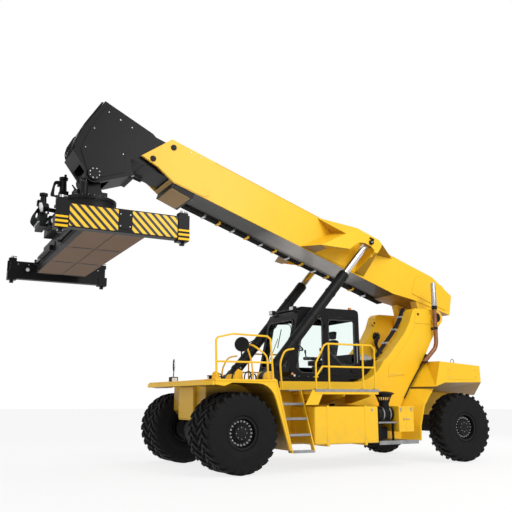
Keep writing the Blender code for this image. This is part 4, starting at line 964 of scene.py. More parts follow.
def air_and_battery():
    """The air cleaner with its pre-cleaner, the battery box lids and the foot plate."""
    x, y = 3.89, -1.60
    kit = Sketch("black", "steel", "moulded")
    kit.turned([(0.001, 1.60), (0.21, 1.60), (0.248, 1.612), (0.25, 1.628), (0.20, 1.655), (0.08, 1.675),
            (0.001, 1.678)], (x, y, 0), "z", 40)
    kit.turned([(0.001, 1.54), (0.17, 1.54), (0.205, 1.60), (0.001, 1.60)], (x, y, 0), "z", 36)
    kit.use("moulded")
    for a in angles(18):
        c, s = cos(a), sin(a)
        kit.bar((x + 0.13 * c, y + 0.13 * s, 1.47), (x + 0.165 * c, y + 0.165 * s, 1.545), 0.010, sides=6)
    kit.use("black").turned([(0.001, 1.28), (0.125, 1.28), (0.115, 1.40), (0.150, 1.47), (0.001, 1.48)],
            (x, y, 0), "z", 32)
    section = [(0.001, -0.285), (0.10, -0.285), (0.158, -0.265), (0.168, -0.22), (0.168, 0.14), (0.150, 0.17),
            (0.001, 0.175)]
    turn = Matrix.Translation((x, y, 1.16)) @ Matrix.Rotation(pi / 2, 4, "Y")
    kit.place = turn
    kit.turned(section, (0, 0, 0), "z", 36)
    kit.use("steel").turned([(0.166, -0.13), (0.173, -0.13), (0.173, -0.105), (0.166, -0.105)], (0, 0, 0),
            "z", 36)
    kit.turned([(0.166, 0.06), (0.173, 0.06), (0.173, 0.085), (0.166, 0.085)], (0, 0, 0), "z", 36)
    kit.place = Matrix.Identity(4)
    kit.use("black").box((x - 0.20, y - 0.12, 0.992), (x + 0.12, y + 0.12, 1.05))
    kit.tube([(x + 0.12, y + 0.05, 1.16), (x + 0.24, y + 0.10, 1.16), (x + 0.24, y + 0.50, 1.20),
            (x + 0.24, y + 0.64, 1.22)], 0.06, 16)
    kit.done("air_cleaner_and_cap", "chassis", replaces=("air_cleaner",), bevel=0.003)
    rack = Sketch("yellow", "grey", "black", "steel")
    rack.box((4.075, -1.90, 0.765), (4.505, -0.96, 1.30)).box((4.065, -1.91, 1.30), (4.515, -0.96, 1.335))
    rack.box((4.285, -1.904, 0.78), (4.292, -1.90, 1.29))
    rack.use("steel").box((4.12, -1.915, 1.22), (4.16, -1.90, 1.31)).box((4.42, -1.915, 1.22),
            (4.46, -1.90, 1.31))
    rack.tube([(4.20, -1.90, 1.05), (4.20, -1.925, 1.05), (4.38, -1.925, 1.05), (4.38, -1.90, 1.05)], 0.008)
    rack.use("grey").box((3.50, -1.90, 0.53), (4.63, -0.98, 0.56))
    rack.box((3.50, -1.905, 0.49), (4.63, -1.89, 0.575)).box((3.50, -1.30, 0.56), (3.53, -0.96, 0.91))
    rack.box((3.56, -1.82, 0.955), (4.07, -0.96, 0.99)).use("black")
    for px in (3.60, 3.98):
        rack.box((px, -1.78, 0.56), (px + 0.04, -1.74, 0.955)).box((px, -1.05, 0.56),
                (px + 0.04, -1.01, 0.955))
    rack.box((3.66, -1.60, 0.60), (3.96, -1.10, 0.86))
    rack.done("battery_box_and_foot_plate", "chassis", replaces=("service_rack",), bevel=0.005)


# Cab

def cab_fittings():
    """Gaskets, wiper, handles, roof lamps, beacon and a lower lamp."""
    kit = Sketch("moulded", "steel", "amber", "white_lens", "black")
    for side in (LEFT, RIGHT):
        y = side * 0.742
        kit.use("moulded").tube([(2.17, y, 2.11), (2.05, y, 2.23), (2.27, y, 3.39), (2.77, y, 3.42),
                (2.77, y, 2.11), (2.17, y, 2.11)], 0.012, 8, 2)
    kit.tube([(1.80, -0.60, 2.26), (2.05, -0.60, 3.37), (2.05, 0.60, 3.37), (1.80, 0.60, 2.26),
            (1.80, -0.60, 2.26)], 0.012, 8, 2)
    kit.use("black").tube([(1.78, 0.30, 2.20), (1.86, 0.10, 2.60), (1.93, -0.05, 2.95)], 0.009, 6)
    kit.tube([(1.93, -0.03, 2.72), (2.01, -0.08, 3.18)], 0.012, 6)
    for y in (-0.52, 0.52):
        kit.use("black").box((2.04, y - 0.09, 3.60), (2.14, y + 0.09, 3.70))
        kit.use("white_lens").box((2.032, y - 0.08, 3.61), (2.04, y + 0.08, 3.69))
        kit.use("black").box((3.86, y - 0.07, 3.58), (3.93, y + 0.07, 3.66))
        kit.use("white_lens").box((3.93, y - 0.06, 3.59), (3.936, y + 0.06, 3.65))
    kit.use("black").bar((3.70, -0.60, 3.64), (3.70, -0.60, 3.69), 0.055)
    kit.use("amber").bar((3.70, -0.60, 3.69), (3.70, -0.60, 3.75), 0.048, 0.042)
    kit.use("black").plate(rounded((1.86, 1.98), (2.02, 2.13), 0.04), -0.775, -0.74)
    kit.use("amber").bar((1.90, -0.775, 2.08), (1.90, -0.785, 2.08),
            0.028).use("white_lens").bar((1.96, -0.775, 2.04), (1.96, -0.785, 2.04), 0.028)
    kit.use("black").plate(rounded((2.25, 3.64), (3.70, 3.70), 0.025), -0.62, 0.62)
    kit.use("black").plate([(1.84, 2.16), (1.98, 1.99), (2.80, 1.99), (2.80, 2.05), (2.06, 2.05),
            (1.90, 2.24)], -0.756, -0.742)
    kit.use("steel").bolts([(x, -0.757, 2.02) for x in (2.1, 2.35, 2.6)], (0, -1, 0), 0.008)
    kit.done("cab_fittings", "chassis", bevel=0.003)
    door = Sketch("moulded", "steel", "black")
    y = -0.742
    door.tube([(2.95, y, 2.64), (2.95, y, 3.40), (3.71, y, 3.40), (3.71, y, 2.31), (3.31, y, 2.31),
            (2.95, y, 2.64)], 0.012, 8, 3)
    door.use("black").plate(rounded((3.60, 2.14), (3.74, 2.20), 0.02), y - 0.03, y + 0.002)
    door.use("steel").tube([(3.755, y, 2.35), (3.755, y - 0.05, 2.37), (3.755, y - 0.05, 2.85),
            (3.755, y, 2.87)], 0.011)
    door.use("black").plate([(2.88, 2.06), (3.30, 2.06), (3.16, 2.20), (2.96, 2.42), (2.88, 2.55)], y - 0.006,
            y + 0.002)
    door.done("door_trim", "door", bevel=0.002)


def seat_pad(name, low, high, crown, lean=0.0):
    """A crowned cushion with a sewn edge, from a subdivided block."""
    block = bmesh.new()
    bmesh.ops.create_cube(block, size=1.0)
    bmesh.ops.subdivide_edges(block, edges=block.edges, cuts=7, use_grid_fill=True)
    size = Vector(high) - Vector(low)
    for vert in block.verts:
        p = vert.co.copy()
        round_in = 1 - 0.10 * (abs(p.x) * 2) ** 6 - 0.05 * (abs(p.y) * 2) ** 6
        bulge = (1 - (2 * p.x) ** 2) * (1 - (2 * p.y) ** 2)
        channel = -0.10 * max(0.0, 1 - abs(abs(p.y) - 0.27) / 0.05) if abs(p.z) > 0.45 else 0.0
        p.z *= 0.80 + crown * bulge + channel
        p.x *= round_in * (1 - 0.06 * (abs(p.z) * 2) ** 4)
        p.y *= round_in * (1 - 0.05 * (abs(p.z) * 2) ** 4)
        vert.co = Vector((p.x * size.x, p.y * size.y, p.z * size.z))
    block.transform(Matrix.Translation((Vector(low) + Vector(high)) / 2 + ORIGIN) @ Matrix.Rotation(lean, 4,
            "Y"))
    mesh = bpy.data.meshes.new(name)
    block.to_mesh(mesh)
    block.free()
    mesh.materials.append(finish("cloth"))
    mesh.shade_smooth()
    piece = bpy.data.objects.new(name, mesh)
    bpy.context.scene.collection.objects.link(piece)
    smooth = piece.modifiers.new("smooth", "SUBSURF")
    smooth.levels = smooth.render_levels = 1
    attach(piece, "chassis")
    return piece


def cab_inside():
    """Seat, steering wheel, levers, dash and display."""
    floor = 1.976
    seat = seat_pad("seat_cushion", (2.90, -0.27, floor + 0.33), (3.44, 0.27, floor + 0.48), 0.24)
    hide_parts("driver_seat")
    seat_pad("seat_back", (3.20, -0.26, floor + 0.66), (3.80, 0.26, floor + 0.80), 0.22, radians(-78))
    seat_pad("seat_headrest", (3.46, -0.13, floor + 1.07), (3.68, 0.13, floor + 1.17), 0.2, radians(-82))
    kit = Sketch("moulded", "screen", "black")
    kit.box((3.02, -0.20, floor), (3.40, 0.20, floor + 0.08))
    kit.plate([(3.06, floor + 0.08), (3.36, floor + 0.08), (3.30, floor + 0.33), (3.02, floor + 0.33)], -0.16,
            0.16)
    for side in (LEFT, RIGHT):
        y = side * 0.36
        kit.plate(rounded((2.92, floor + 0.50), (3.40, floor + 0.58), 0.03), *sorted((y - 0.05, y + 0.05)))
        kit.bar((3.30, y, floor + 0.25), (3.30, y, floor + 0.52), 0.03)
        kit.use("black").bar((2.98, y, floor + 0.57), (2.96, y, floor + 0.70),
                0.016).bar((2.96, y, floor + 0.68), (2.955, y, floor + 0.76), 0.026, 0.022)
        kit.use("moulded")
    ring = Matrix.Translation((2.47, 0, floor + 0.80)) @ Matrix.Rotation(radians(28), 4, "Y")
    kit.place = ring
    tube = [(0.19 + 0.016 * cos(a), 0.016 * sin(a)) for a in angles(8)]
    kit.use("black").turned(tube, (0, 0, 0), "z", 32)
    for a in (pi / 2, pi * 7 / 6, pi * 11 / 6):
        kit.bar((0, 0, 0), (0.19 * cos(a), 0.19 * sin(a), 0), 0.012, sides=8)
    kit.bar((0, 0, -0.02), (0, 0, 0.02), 0.045)
    kit.place = Matrix.Identity(4)
    kit.use("moulded").plate([(2.02, floor), (2.34, floor), (2.30, floor + 0.56), (2.12, floor + 0.52)],
            -0.40, 0.40)
    kit.plate(rounded((2.60, 2.62), (2.64, 2.86), 0.01), 0.38,
            0.62).use("screen").plate(rounded((2.642, 2.64), (2.646, 2.84), 0.002), 0.40, 0.60)
    kit.use("moulded").bar((2.40, 0.60, 2.02), (2.62, 0.52, 2.66), 0.016)
    kit.use("moulded").box((3.70, -0.60, floor + 0.02), (3.80, 0.60, floor + 0.60))
    kit.done("cab_controls", "chassis", replaces=("steering_console",), bevel=0.003)


# Boom and lift cylinders

def boom_trim():
    """Weld beads, doubler collar, pins, pad box, belly plate and pipe run on the outer boom."""
    kit = Sketch("yellow", "black", "steel", "boom_belly", "bright", place=boom_place())
    half = BOOM_HALF
    for side in (LEFT, RIGHT):
        face = side * half
        low, high = sorted((face - side * 0.002, face + side * 0.016))
        kit.use("yellow").plate([(-8.16, 1.215), (-8.66, 0.50), (-8.24, 0.43), (-7.78, 0.27), (-7.00, 0.27),
                (-6.86, 0.36), (-7.30, 1.215)], low, high)
        kit.plate([(0.60, 0.50), (0.66, 0.90), (0.30, 1.12), (-0.45, 1.12), (-0.62, 0.95), (-0.62, 0.50)],
                low, high)
        for u, v in ((8.41, 0.55), (8.06, 1.04)):
            kit.use("black").bar((-u, face, v), (-u, face + side * 0.040, v), 0.075, 0.066, 28)
            kit.use("black").bar((-u, face + side * 0.03, v), (-u, face + side * 0.050, v), 0.030, sides=6)
        kit.use("steel").bolts([(-u, face + side * 0.016, 1.14) for u in (7.40, 7.52, 7.64)], (0, side, 0),
                0.012)
        kit.use("yellow")
        for v in (BOOM_BOTTOM + 0.012, BOOM_TOP - 0.012):
            kit.tube([(-1.3, face, v), (-7.0, face, v)], 0.008, 6, 1)
        knob = SHOULDER_FACE
        kit.use("black").bar((-2.65, side * knob, 0.95), (-2.65, side * (knob + 0.052), 0.95), 0.062)
        kit.use("steel").bar((-2.65, side * (knob + 0.05), 0.95), (-2.65, side * (knob + 0.06), 0.95), 0.024,
                sides=6)
        kit.use("black").block((-2.72, -2.58), span(side, knob, knob + 0.02), (1.03, 1.07))
    kit.use("boom_belly").box((-7.72, -half + 0.004, BOOM_BOTTOM - 0.010),
            (-1.16, half - 0.004, BOOM_BOTTOM + 0.004))
    kit.use("black").plate([(-7.20, 0.10), (-7.78, 0.13), (-7.78, 0.26), (-7.20, 0.26)], -0.52, 0.52)
    kit.use("steel").bolts([(-7.20 - 0.1 * k, s * 0.46, 0.108 + 0.004 * k) for k in range(6)
            for s in (-1, 1)], (0, 0, -1), 0.012)
    kit.use("yellow").plate([(-8.12, 1.222), (-7.60, 1.222), (-7.60, 1.245), (-8.10, 1.245)], -0.44, 0.44)
    kit.use("steel").bolts([(-7.66 - 0.08 * k, s * 0.36, 1.245) for k in range(6) for s in (-1, 1)],
            (0, 0, 1), 0.012)
    for k, y in enumerate((0.30, 0.36, 0.42, 0.48)):
        kit.use("black").tube([(-0.9, y, 0.215 - 0.004 * (k % 2)), (-1.6, y, 0.205), (-7.1, y, 0.205),
                (-7.25, y, 0.215)], 0.017, 8)
    for k in range(13):
        u = 1.5 + 0.42 * k
        kit.use("bright" if k % 2 else "steel").box((-u - 0.03, 0.27, 0.178), (-u + 0.03, 0.51, 0.232))
    kit.use("yellow").plate([(0.70, 0.50), (0.775, 0.50), (0.705, 0.96), (0.62, 1.02)], -0.50, 0.50)
    kit.use("black").box((0.50, -0.30, 0.66), (0.785, 0.30, 0.86))
    kit.done("boom_fittings", "boom", bevel=0.003)


def inner_boom_trim():
    """Head plates, pin discs, valve block and fittings at the boom's nose."""
    kit = Sketch("black", "steel", place=boom_place())
    pin_u, pin_v = 9.46, -0.37
    for side in (LEFT, RIGHT):
        face = side * 0.45
        low, high = sorted((face - side * 0.002, face + side * 0.016))
        kit.use("black").plate([(-8.95, 1.12), (-9.78, 1.24), (-9.93, 0.60), (-9.94, 0.02), (-9.62, -0.38),
                (-9.30, -0.38), (-8.86, -0.02), (-9.0, 0.30)], low, high)
        kit.bar((-pin_u, face, pin_v), (-pin_u, face + side * 0.05, pin_v), 0.15, sides=32)
        kit.use("steel").bolts([(-pin_u + 0.11 * cos(a), face + side * 0.05, pin_v + 0.11 * sin(a))
                for a in angles(8)], (0, side, 0), 0.012)
        kit.bolts([(-u, face + side * 0.016, v) for u,
                v in ((9.1, 1.04), (9.4, 1.08), (9.7, 1.12), (9.85, 0.6), (9.86, 0.1), (9.05, 0.35))],
                (0, side, 0), 0.012)
    kit.use("black").plate([(-10.062, 0.56), (-10.10, 0.50), (-10.10, 0.0), (-10.072, -0.06)], -0.36, 0.36)
    kit.plate([(-9.885, 1.31), (-9.93, 1.29), (-10.085, 0.62), (-10.065, 0.58)], -0.40, 0.40)
    kit.use("steel")
    for k in range(5):
        y = -0.28 + 0.14 * k
        kit.bar((-10.09, y, 0.30), (-10.13, y, 0.30), 0.022, sides=10)
        kit.use("black").tube([(-10.12, y, 0.30), (-10.16, y, 0.22), (-10.14, y, 0.02), (-10.08, y, -0.08)],
                0.014, 8).use("steel")
    kit.use("black").box((-8.94, -0.34, -0.045), (-8.62, 0.34, -0.005))
    for y in (0.32, 0.37, 0.42):
        kit.tube([(-8.62, y, 0.285), (-8.30, y, 0.30)], 0.013, 8)
    for k in range(4):
        y = -0.40 + 0.035 * k
        kit.use("black").tube([(-8.66, y, 0.02), (-8.86, y, -0.10), (-9.04, y, -0.20 - 0.02 * k),
                (-9.16, y, -0.30)], 0.015, 8)
        kit.use("steel").bar((-8.64, y, 0.03), (-8.70, y, 0.0), 0.020, sides=8)
    kit.use("black").plate([(-9.93, 0.58), (-10.078, 0.56), (-10.088, 0.02), (-9.96, 0.02)], -0.452, -0.40)
    kit.done("boom_head_fittings", "inner_boom", bevel=0.003)


def ram_trim():
    """Gland, base cap, pipes and clamps on each lift cylinder."""
    for side in (LEFT, RIGHT):
        tag = TAGS[side]
        kit = Sketch("black", "steel", place=ram_place(side))
        end = RAM_LENGTH
        kit.turned([(0.093, end - 0.16), (0.135, end - 0.16), (0.135, end - 0.02), (0.128, end),
                (0.118, end + 0.004), (0.093, end + 0.004)], (0, 0, 0), "z", 36)
        kit.turned([(0.128, 0.30), (0.146, 0.31), (0.146, 0.38), (0.128, 0.39)], (0, 0, 0), "z", 36)
        for z in (1.1, 1.9, 2.7):
            kit.use("black").turned([(0.1305, z), (0.139, z), (0.139, z + 0.05), (0.1305, z + 0.05)],
                    (0, 0, 0), "z", 32)
            kit.use("black").block((-0.03, 0.03), span(-side, 0.12, 0.17), (z + 0.01, z + 0.04))
        y = -side * 0.165
        kit.use("black").tube([(0.0, -side * 0.12, 0.42), (0.0, y, 0.46), (0.0, y, 3.10),
                (0.0, -side * 0.135, 3.22)], 0.014, 8)
        kit.use("steel").bolts(circle((0, 0, end), 0.108, 10, "z"), (0, 0, 1), 0.008, 0.008)
        kit.use("steel").bar((0.0, -side * 0.13, 0.40), (0.0, y, 0.40), 0.025, sides=6)
        kit.done(f"ram_fittings_{tag}", f"lift_barrel_{tag}", bevel=0.002)
        base = Sketch("yellow", "steel", "rubber")
        x, z = RAM_FOOT.x, RAM_FOOT.z
        for y0 in (0.786, 1.202):
            low, high = span(side, y0, (y0 + 0.012))
            base.use("yellow").plate([(x + 0.12 * cos(a), z + 0.12 * sin(a)) for a in angles(20)], low, high)
        base.use("steel").bolts(circle((x, side * 1.214, z), 0.095, 6), (0, side, 0), 0.010)
        base.use("rubber").tube([(x - 0.36, side * 0.86, 1.905), (x - 0.34, side * 0.86, 2.02),
                (x - 0.22, side * 0.90, 2.06), (x - 0.20, side * 0.90, 1.905)], 0.016, 8)
        base.tube([(x - 0.45, side * 0.80, 1.905), (x - 0.43, side * 0.80, 2.08),
                (x - 0.30, side * 0.80, 2.12), (x - 0.26, side * 0.80, 1.905)], 0.016, 8)
        base.use("steel").block((x - 0.50, x - 0.18), span(side, 0.74, 0.92), (1.902, 1.93))
        base.use("yellow").plate([(x - 0.62, 1.901), (x - 0.40, 1.901), (x - 0.42, 2.12), (x - 0.51, 2.17),
                (x - 0.60, 2.12)], *span(side, 0.62, 0.65))
        base.done(f"ram_base_{tag}", "chassis", bevel=0.003)


# Spreader

def yoke_and_rotator():
    """Turning ring, motors, valve tower and pipes about the head's pin."""
    kit = Sketch("black", "steel")
    x = HEAD_PIN.x
    kit.turned([(0.001, 5.722), (0.60, 5.722), (0.622, 5.74), (0.622, 5.80), (0.50, 5.83), (0.001, 5.83)],
            (x, 0, 0), "z", 48)
    kit.use("steel").bolts(circle((x, 0, 5.806), 0.565, 28, "z"), (0, 0, 1), 0.014, 0.016)
    for side in (LEFT, RIGHT):
        kit.use("black").bar((x - 0.20, side * 0.42, 5.82), (x - 0.20, side * 0.42, 6.12),
                0.085).bar((x - 0.20, side * 0.42, 6.12), (x - 0.20, side * 0.42, 6.17), 0.06, 0.05)
        kit.use("steel").bolts(circle((x - 0.20, side * 0.42, 6.12), 0.066, 6, "z"), (0, 0, 1), 0.009)
        kit.use("black").tube([(x - 0.20, side * 0.42, 6.15), (x - 0.30, side * 0.36, 6.26),
                (x - 0.30, side * 0.24, 6.20), (x - 0.18, side * 0.20, 6.05)], 0.015, 8)
        kit.plate([(x - 0.30, 5.83), (x + 0.30, 5.83), (x + 0.17, 6.12), (x + 0.13, 6.40), (x - 0.13, 6.40),
                (x - 0.17, 6.12)], *span(side, 0.275, 0.292))
    tx, ty = x - 0.42, 0.74
    kit.use("black").box((tx - 0.16, 0.40, 5.802), (tx + 0.16, 0.86, 5.86)).box((tx - 0.09, ty - 0.10, 5.86),
            (tx + 0.11, ty + 0.10, 6.18))
    kit.bar((tx, ty, 6.18), (tx, ty, 6.46), 0.085, 0.07).bar((tx, ty, 6.46), (tx, ty, 6.52),
            0.10).bar((tx + 0.05, ty + 0.06, 6.52), (tx + 0.05, ty + 0.06, 6.62), 0.03)
    kit.box((tx - 0.13, ty - 0.06, 6.30), (tx - 0.07, ty + 0.06, 6.42))
    for k in range(5):
        kit.use("steel").bar((tx - 0.09, ty - 0.08 + 0.04 * k, 5.98 + 0.03 * k),
                (tx - 0.13, ty - 0.08 + 0.04 * k, 5.98 + 0.03 * k), 0.016, sides=8)
        kit.use("black").tube([(tx - 0.12, ty - 0.08 + 0.04 * k, 5.98 + 0.03 * k),
                (tx - 0.22 - 0.01 * k, ty - 0.06 + 0.04 * k, 6.06), (tx - 0.20, ty - 0.02, 6.34 + 0.02 * k),
                (tx - 0.04, ty, 6.40)], 0.014, 8)
    kit.done("yoke_fittings", "head", bevel=0.004)
    low = Sketch("black", "steel", "white_lens")
    low.turned([(0.59, 5.36), (0.622, 5.38), (0.622, 5.66), (0.60, 5.70), (0.58, 5.70), (0.58, 5.36)],
            (x, 0, 0), "z", 56)
    low.use("steel").bolts(circle((x, 0, 5.375), 0.655, 24, "z"), (0, 0, 1), 0.014, 0.016)
    low.use("black").box((x - 0.72, -0.70, 5.36), (x + 0.72, 0.70, 5.374))
    for side in (LEFT, RIGHT):
        low.use("black").plate([(x - 0.76, 5.08), (x + 0.76, 5.08), (x + 0.76, 5.33), (x - 0.76, 5.33)],
                *span(side, 0.752, 0.766))
        for k in range(4):
            px = x - 0.62 + 0.41 * k
            low.use("steel").bolts([(px, side * 0.766, 5.13), (px, side * 0.766, 5.28)], (0, side, 0), 0.013)
        low.use("black").bar((x + side * 0.66, -0.60, 5.44), (x + side * 0.66, 0.60, 5.44),
                0.045).box((x + side * 0.66 - 0.05, -0.66, 5.37), (x + side * 0.66 + 0.05, -0.58, 5.50))
        low.box((x + side * 0.66 - 0.05, 0.58, 5.37), (x + side * 0.66 + 0.05, 0.66, 5.50))
    low.use("black").box((x - 0.86, -0.26, 5.10), (x - 0.78, 0.26, 5.32)).use("steel")
    for k in range(6):
        low.bar((x - 0.86, -0.20 + 0.08 * k, 5.20), (x - 0.885, -0.20 + 0.08 * k, 5.20), 0.018, sides=8)
    low.use("white_lens").bar((x - 0.80, -0.52, 5.14), (x - 0.83, -0.52, 5.12),
            0.07).use("black").bar((x - 0.78, -0.52, 5.15), (x - 0.80, -0.52, 5.14), 0.08)
    front = x - 0.86
    low.use("black").box((front - 0.16, -0.05, 5.12), (front, 0.55, 5.42)).box((front - 0.12, 0.10, 5.42),
            (front - 0.02, 0.30, 5.66))
    low.bar((front - 0.07, 0.20, 5.66), (front - 0.07, 0.20, 5.86), 0.075,
            0.06).bar((front - 0.07, 0.20, 5.86), (front - 0.07, 0.20, 5.92), 0.09)
    low.bar((front - 0.10, 0.45, 5.42), (front - 0.10, 0.45, 5.74), 0.035).box((front - 0.16, 0.38, 5.70),
            (front - 0.04, 0.52, 5.82))
    for k in range(6):
        y = -0.02 + 0.10 * k
        low.use("steel").bar((front - 0.16, y, 5.22), (front - 0.20, y, 5.22), 0.022, sides=8)
        low.use("black").tube([(front - 0.18, y, 5.22), (front - 0.27, y, 5.30),
                (front - 0.22, y + 0.03, 5.52), (front - 0.02, 0.2 + 0.04 * k, 5.60),
                (front + 0.30, 0.1 + 0.05 * k, 5.56)], 0.017, 8)
    low.use("white_lens").bar((front - 0.15, -0.20, 5.50), (front - 0.19, -0.20, 5.49),
            0.10).use("black").bar((front - 0.02, -0.20, 5.52), (front - 0.15, -0.20, 5.50), 0.07, 0.11)
    low.bar((front - 0.02, -0.20, 5.36), (front - 0.02, -0.20, 5.52), 0.02)
    low.done("rotator_fittings", "rotator", bevel=0.004)


def spreader_trim():
    """Boards, pipes, cylinders and end collars of the spreader's main beam."""
    kit = Sketch("black", "steel", "brown")
    x = HEAD_PIN.x
    for side in (LEFT, RIGHT):
        y = side * 2.55
        low, high = sorted((y, y + side * 0.012))
        for s in (-1, 1):
            cx = x + s * 0.2825
            outer, inner = rounded((cx - 0.29, 4.57), (cx + 0.29, 4.95), 0.02), rounded((cx - 0.255, 4.63),
                    (cx + 0.255, 4.89), 0.01)
            rings = [[(a, low, b) for a, b in outer], [(a, high, b) for a, b in outer],
                    [(a, high, b) for a, b in inner], [(a, low, b) for a, b in inner]]
            kit.use("black").loft(rings, closed=True)
        kit.use("black").plate(rounded((x - 0.62, 4.70), (x - 0.60, 4.90), 0.006), *span(side, 0.3, 2.2))
        kit.bar((x - 0.66, side * 0.5, 4.78), (x - 0.66, side * 1.7, 4.78),
                0.042).use("steel").bar((x - 0.66, side * 1.7, 4.78), (x - 0.66, side * 2.3, 4.78),
                0.024).use("black")
        for clamp in ((0.42, 0.50), (2.26, 2.34)):
            kit.block((x - 0.70, x - 0.60), span(side, *clamp), (4.72, 4.84))
    for i in range(3):
        low = -2.48 + 1.66 * i
        for near, far in ((x - 0.585, x - 0.01), (x + 0.01, x + 0.585)):
            kit.use("brown").plate(rounded((near, low), (far, low + 1.62), 0.02), 4.552, 4.5615, "z")
            kit.use("black").plate(rounded((near + 0.12, low + 1.60), (far - 0.08, low + 1.68), 0.03), 4.546,
                    4.5615, "z")
    kit.use("steel").bolts([(x + s * 0.57, y, 4.563) for s in (-1, 1)
            for y in (-2.4, -1.6, -0.8, 0, 0.8, 1.6, 2.4)], (0, 0, -1), 0.011, 0.008)
    kit.use("black")
    for k in range(4):
        kit.tube([(x + 0.61, -1.6 + 0.02 * k, 4.90 - 0.045 * k), (x + 0.645, -1.5, 4.90 - 0.045 * k),
                (x + 0.645, 1.5, 4.90 - 0.045 * k), (x + 0.61, 1.6, 4.90 - 0.045 * k)], 0.014, 8)
    kit.done("spreader_fittings", "spreader", bevel=0.003)


def end_beams():
    """Striped outer faces, corner housings, twistlocks, guide flaps and lamps."""
    x0 = HEAD_PIN.x
    for side in (LEFT, RIGHT):
        tag = TAGS[side]
        kit = Sketch("black", "stripes", "steel", "white_lens")
        face = side * 3.02
        low, high = sorted((face, face + side * 0.008))
        for s in (-1, 1):
            near, far = sorted((x0 + s * 0.13, x0 + s * 1.0))
            kit.use("stripes").plate(rounded((near, 4.45), (far, 4.85), 0.02), low, high)
            cx = x0 + s * TWISTLOCK[0]
            kit.use("black").plate(rounded((cx - 0.11, 4.60), (cx + 0.11, 4.90), 0.01), low, high)
            kit.use("black").block((cx - 0.108, cx + 0.108), (side * 2.80, face), (4.40, 4.46))
            kit.block((cx - 0.09, cx + 0.09), span(side, 2.85, 3.0), (4.86, 4.955))
            kit.use("steel").bar((cx, side * TWISTLOCK[1], 4.93), (cx, side * TWISTLOCK[1], 5.01),
                    0.042).bar((cx, side * TWISTLOCK[1], 5.0), (cx + 0.10, side * TWISTLOCK[1], 5.0), 0.014)
            kit.use("steel").loft([[(cx + a * w, side * TWISTLOCK[1] + b * d, z) for a,
                    b in ((-1, -1), (1, -1), (1, 1), (-1, 1))] for z, w,
                    d in ((4.40, 0.05, 0.028), (4.36, 0.052, 0.030), (4.332, 0.022, 0.016))])
        kit.use("black").plate(rounded((x0 - 0.125, 4.50), (x0 + 0.125, 4.82), 0.03), low, high)
        kit.use("steel").bolts([(x0 + px, face + side * 0.006, pz) for px in (-0.09, 0.09)
                for pz in (4.55, 4.77)], (0, side, 0), 0.011, 0.008)
        inner = side * 2.828
        kit.bolts([(x0 - 1.0 + 0.25 * k, inner, 4.80) for k in range(9)], (0, -side, 0), 0.012, 0.010)
        kit.use("black").block((x0 - 0.86, x0 - 0.70), (inner, inner - side * 0.07), (4.60, 4.72))
        kit.use("white_lens").bar((x0 - 0.78, inner - side * 0.07, 4.66),
                (x0 - 0.78, inner - side * 0.076, 4.66), 0.045)
        kit.done(f"end_beam_fittings_{tag}", f"spreader_end_{tag}", bevel=0.003)


# Stage

def stage(light):
    """Floor, lamps, pale surroundings and the camera."""
    scene = bpy.context.scene
    floor_mesh = bpy.data.meshes.new("floor")
    grid = bmesh.new()
    bmesh.ops.create_circle(grid, cap_ends=True, segments=64, radius=90)
    grid.to_mesh(floor_mesh)
    grid.free()
    floor = bpy.data.objects.new("floor", floor_mesh)
    scene.collection.objects.link(floor)
    floor.location = (0, 0, -0.001)
    f = Finish("studio_floor", (0.86, 0.86, 0.86), 0.9)
    rays = f.node("ShaderNodeLightPath")
    seen = f.maths("MAXIMUM", rays.outputs["Is Camera Ray"], rays.outputs["Is Glossy Ray"])
    seen = f.maths("MAXIMUM", seen, rays.outputs["Is Transmission Ray"])
    lit = f.node("ShaderNodeEmission", {}, {"Color": WHITE, "Strength": 1.0})
    mix = f.node("ShaderNodeMixShader", {}, {0: seen * light.floor_white, 1: f.shader.outputs[0], 2: lit.outputs[0]})
    f.feed(f.tree.nodes["Material Output"].inputs["Surface"], mix.outputs[0])
    floor_mesh.materials.append(f.material)
    world = bpy.data.worlds.new("studio")
    scene.world = world
    world.use_nodes = True
    sky = Nodes(world.node_tree)
    even = sky.tree.nodes["Background"]
    sky.feed(even.inputs["Color"], WHITE)
    sky.feed(even.inputs["Strength"], light.fill)
    plain = sky.node("ShaderNodeBackground", {}, {"Color": WHITE})
    rays = sky.node("ShaderNodeLightPath")
    seen = sky.maths("MAXIMUM", rays.outputs["Is Camera Ray"], rays.outputs["Is Transmission Ray"])
    both = sky.node("ShaderNodeMixShader", {}, {0: seen, 1: even.outputs[0], 2: plain.outputs[0]})
    sky.feed(sky.tree.nodes["World Output"].inputs["Surface"], both.outputs[0])
    for name, place, aim, size, power in (
            ("key", (2.5, -13.0, 11.0), (0.0, 0.0, 3.0), 7.0, light.key),
            ("front", (-14.0, -6.0, 7.0), (-1.0, 0.0, 3.0), 6.0, light.key * 0.12),
            ("rear", (12.0, 5.0, 9.0), (1.0, 0.0, 3.0), 6.0, light.key * 0.35)):
        lamp = bpy.data.lights.new(name, "AREA")
        lamp.shape = "DISK"
        lamp.size = size
        lamp.energy = power
        made = bpy.data.objects.new(name, lamp)
        made.location = place
        made.rotation_euler = (Vector(aim) - Vector(place)).to_track_quat("-Z", "Y").to_euler()
        scene.collection.objects.link(made)
    camera = bpy.data.cameras.new("camera")
    camera.lens = 47.56
    camera.sensor_width = 36.0
    camera.clip_end = 300
    eye = bpy.data.objects.new("camera", camera)
    eye.location = ORIGIN + Vector((-6.197, -14.619, 1.514))
    eye.rotation_euler = (radians(90 + 11.888), 0, radians(-27.307))
    scene.collection.objects.link(eye)
    scene.camera = eye
    scene.view_settings.view_transform = "Standard"


# Add-on

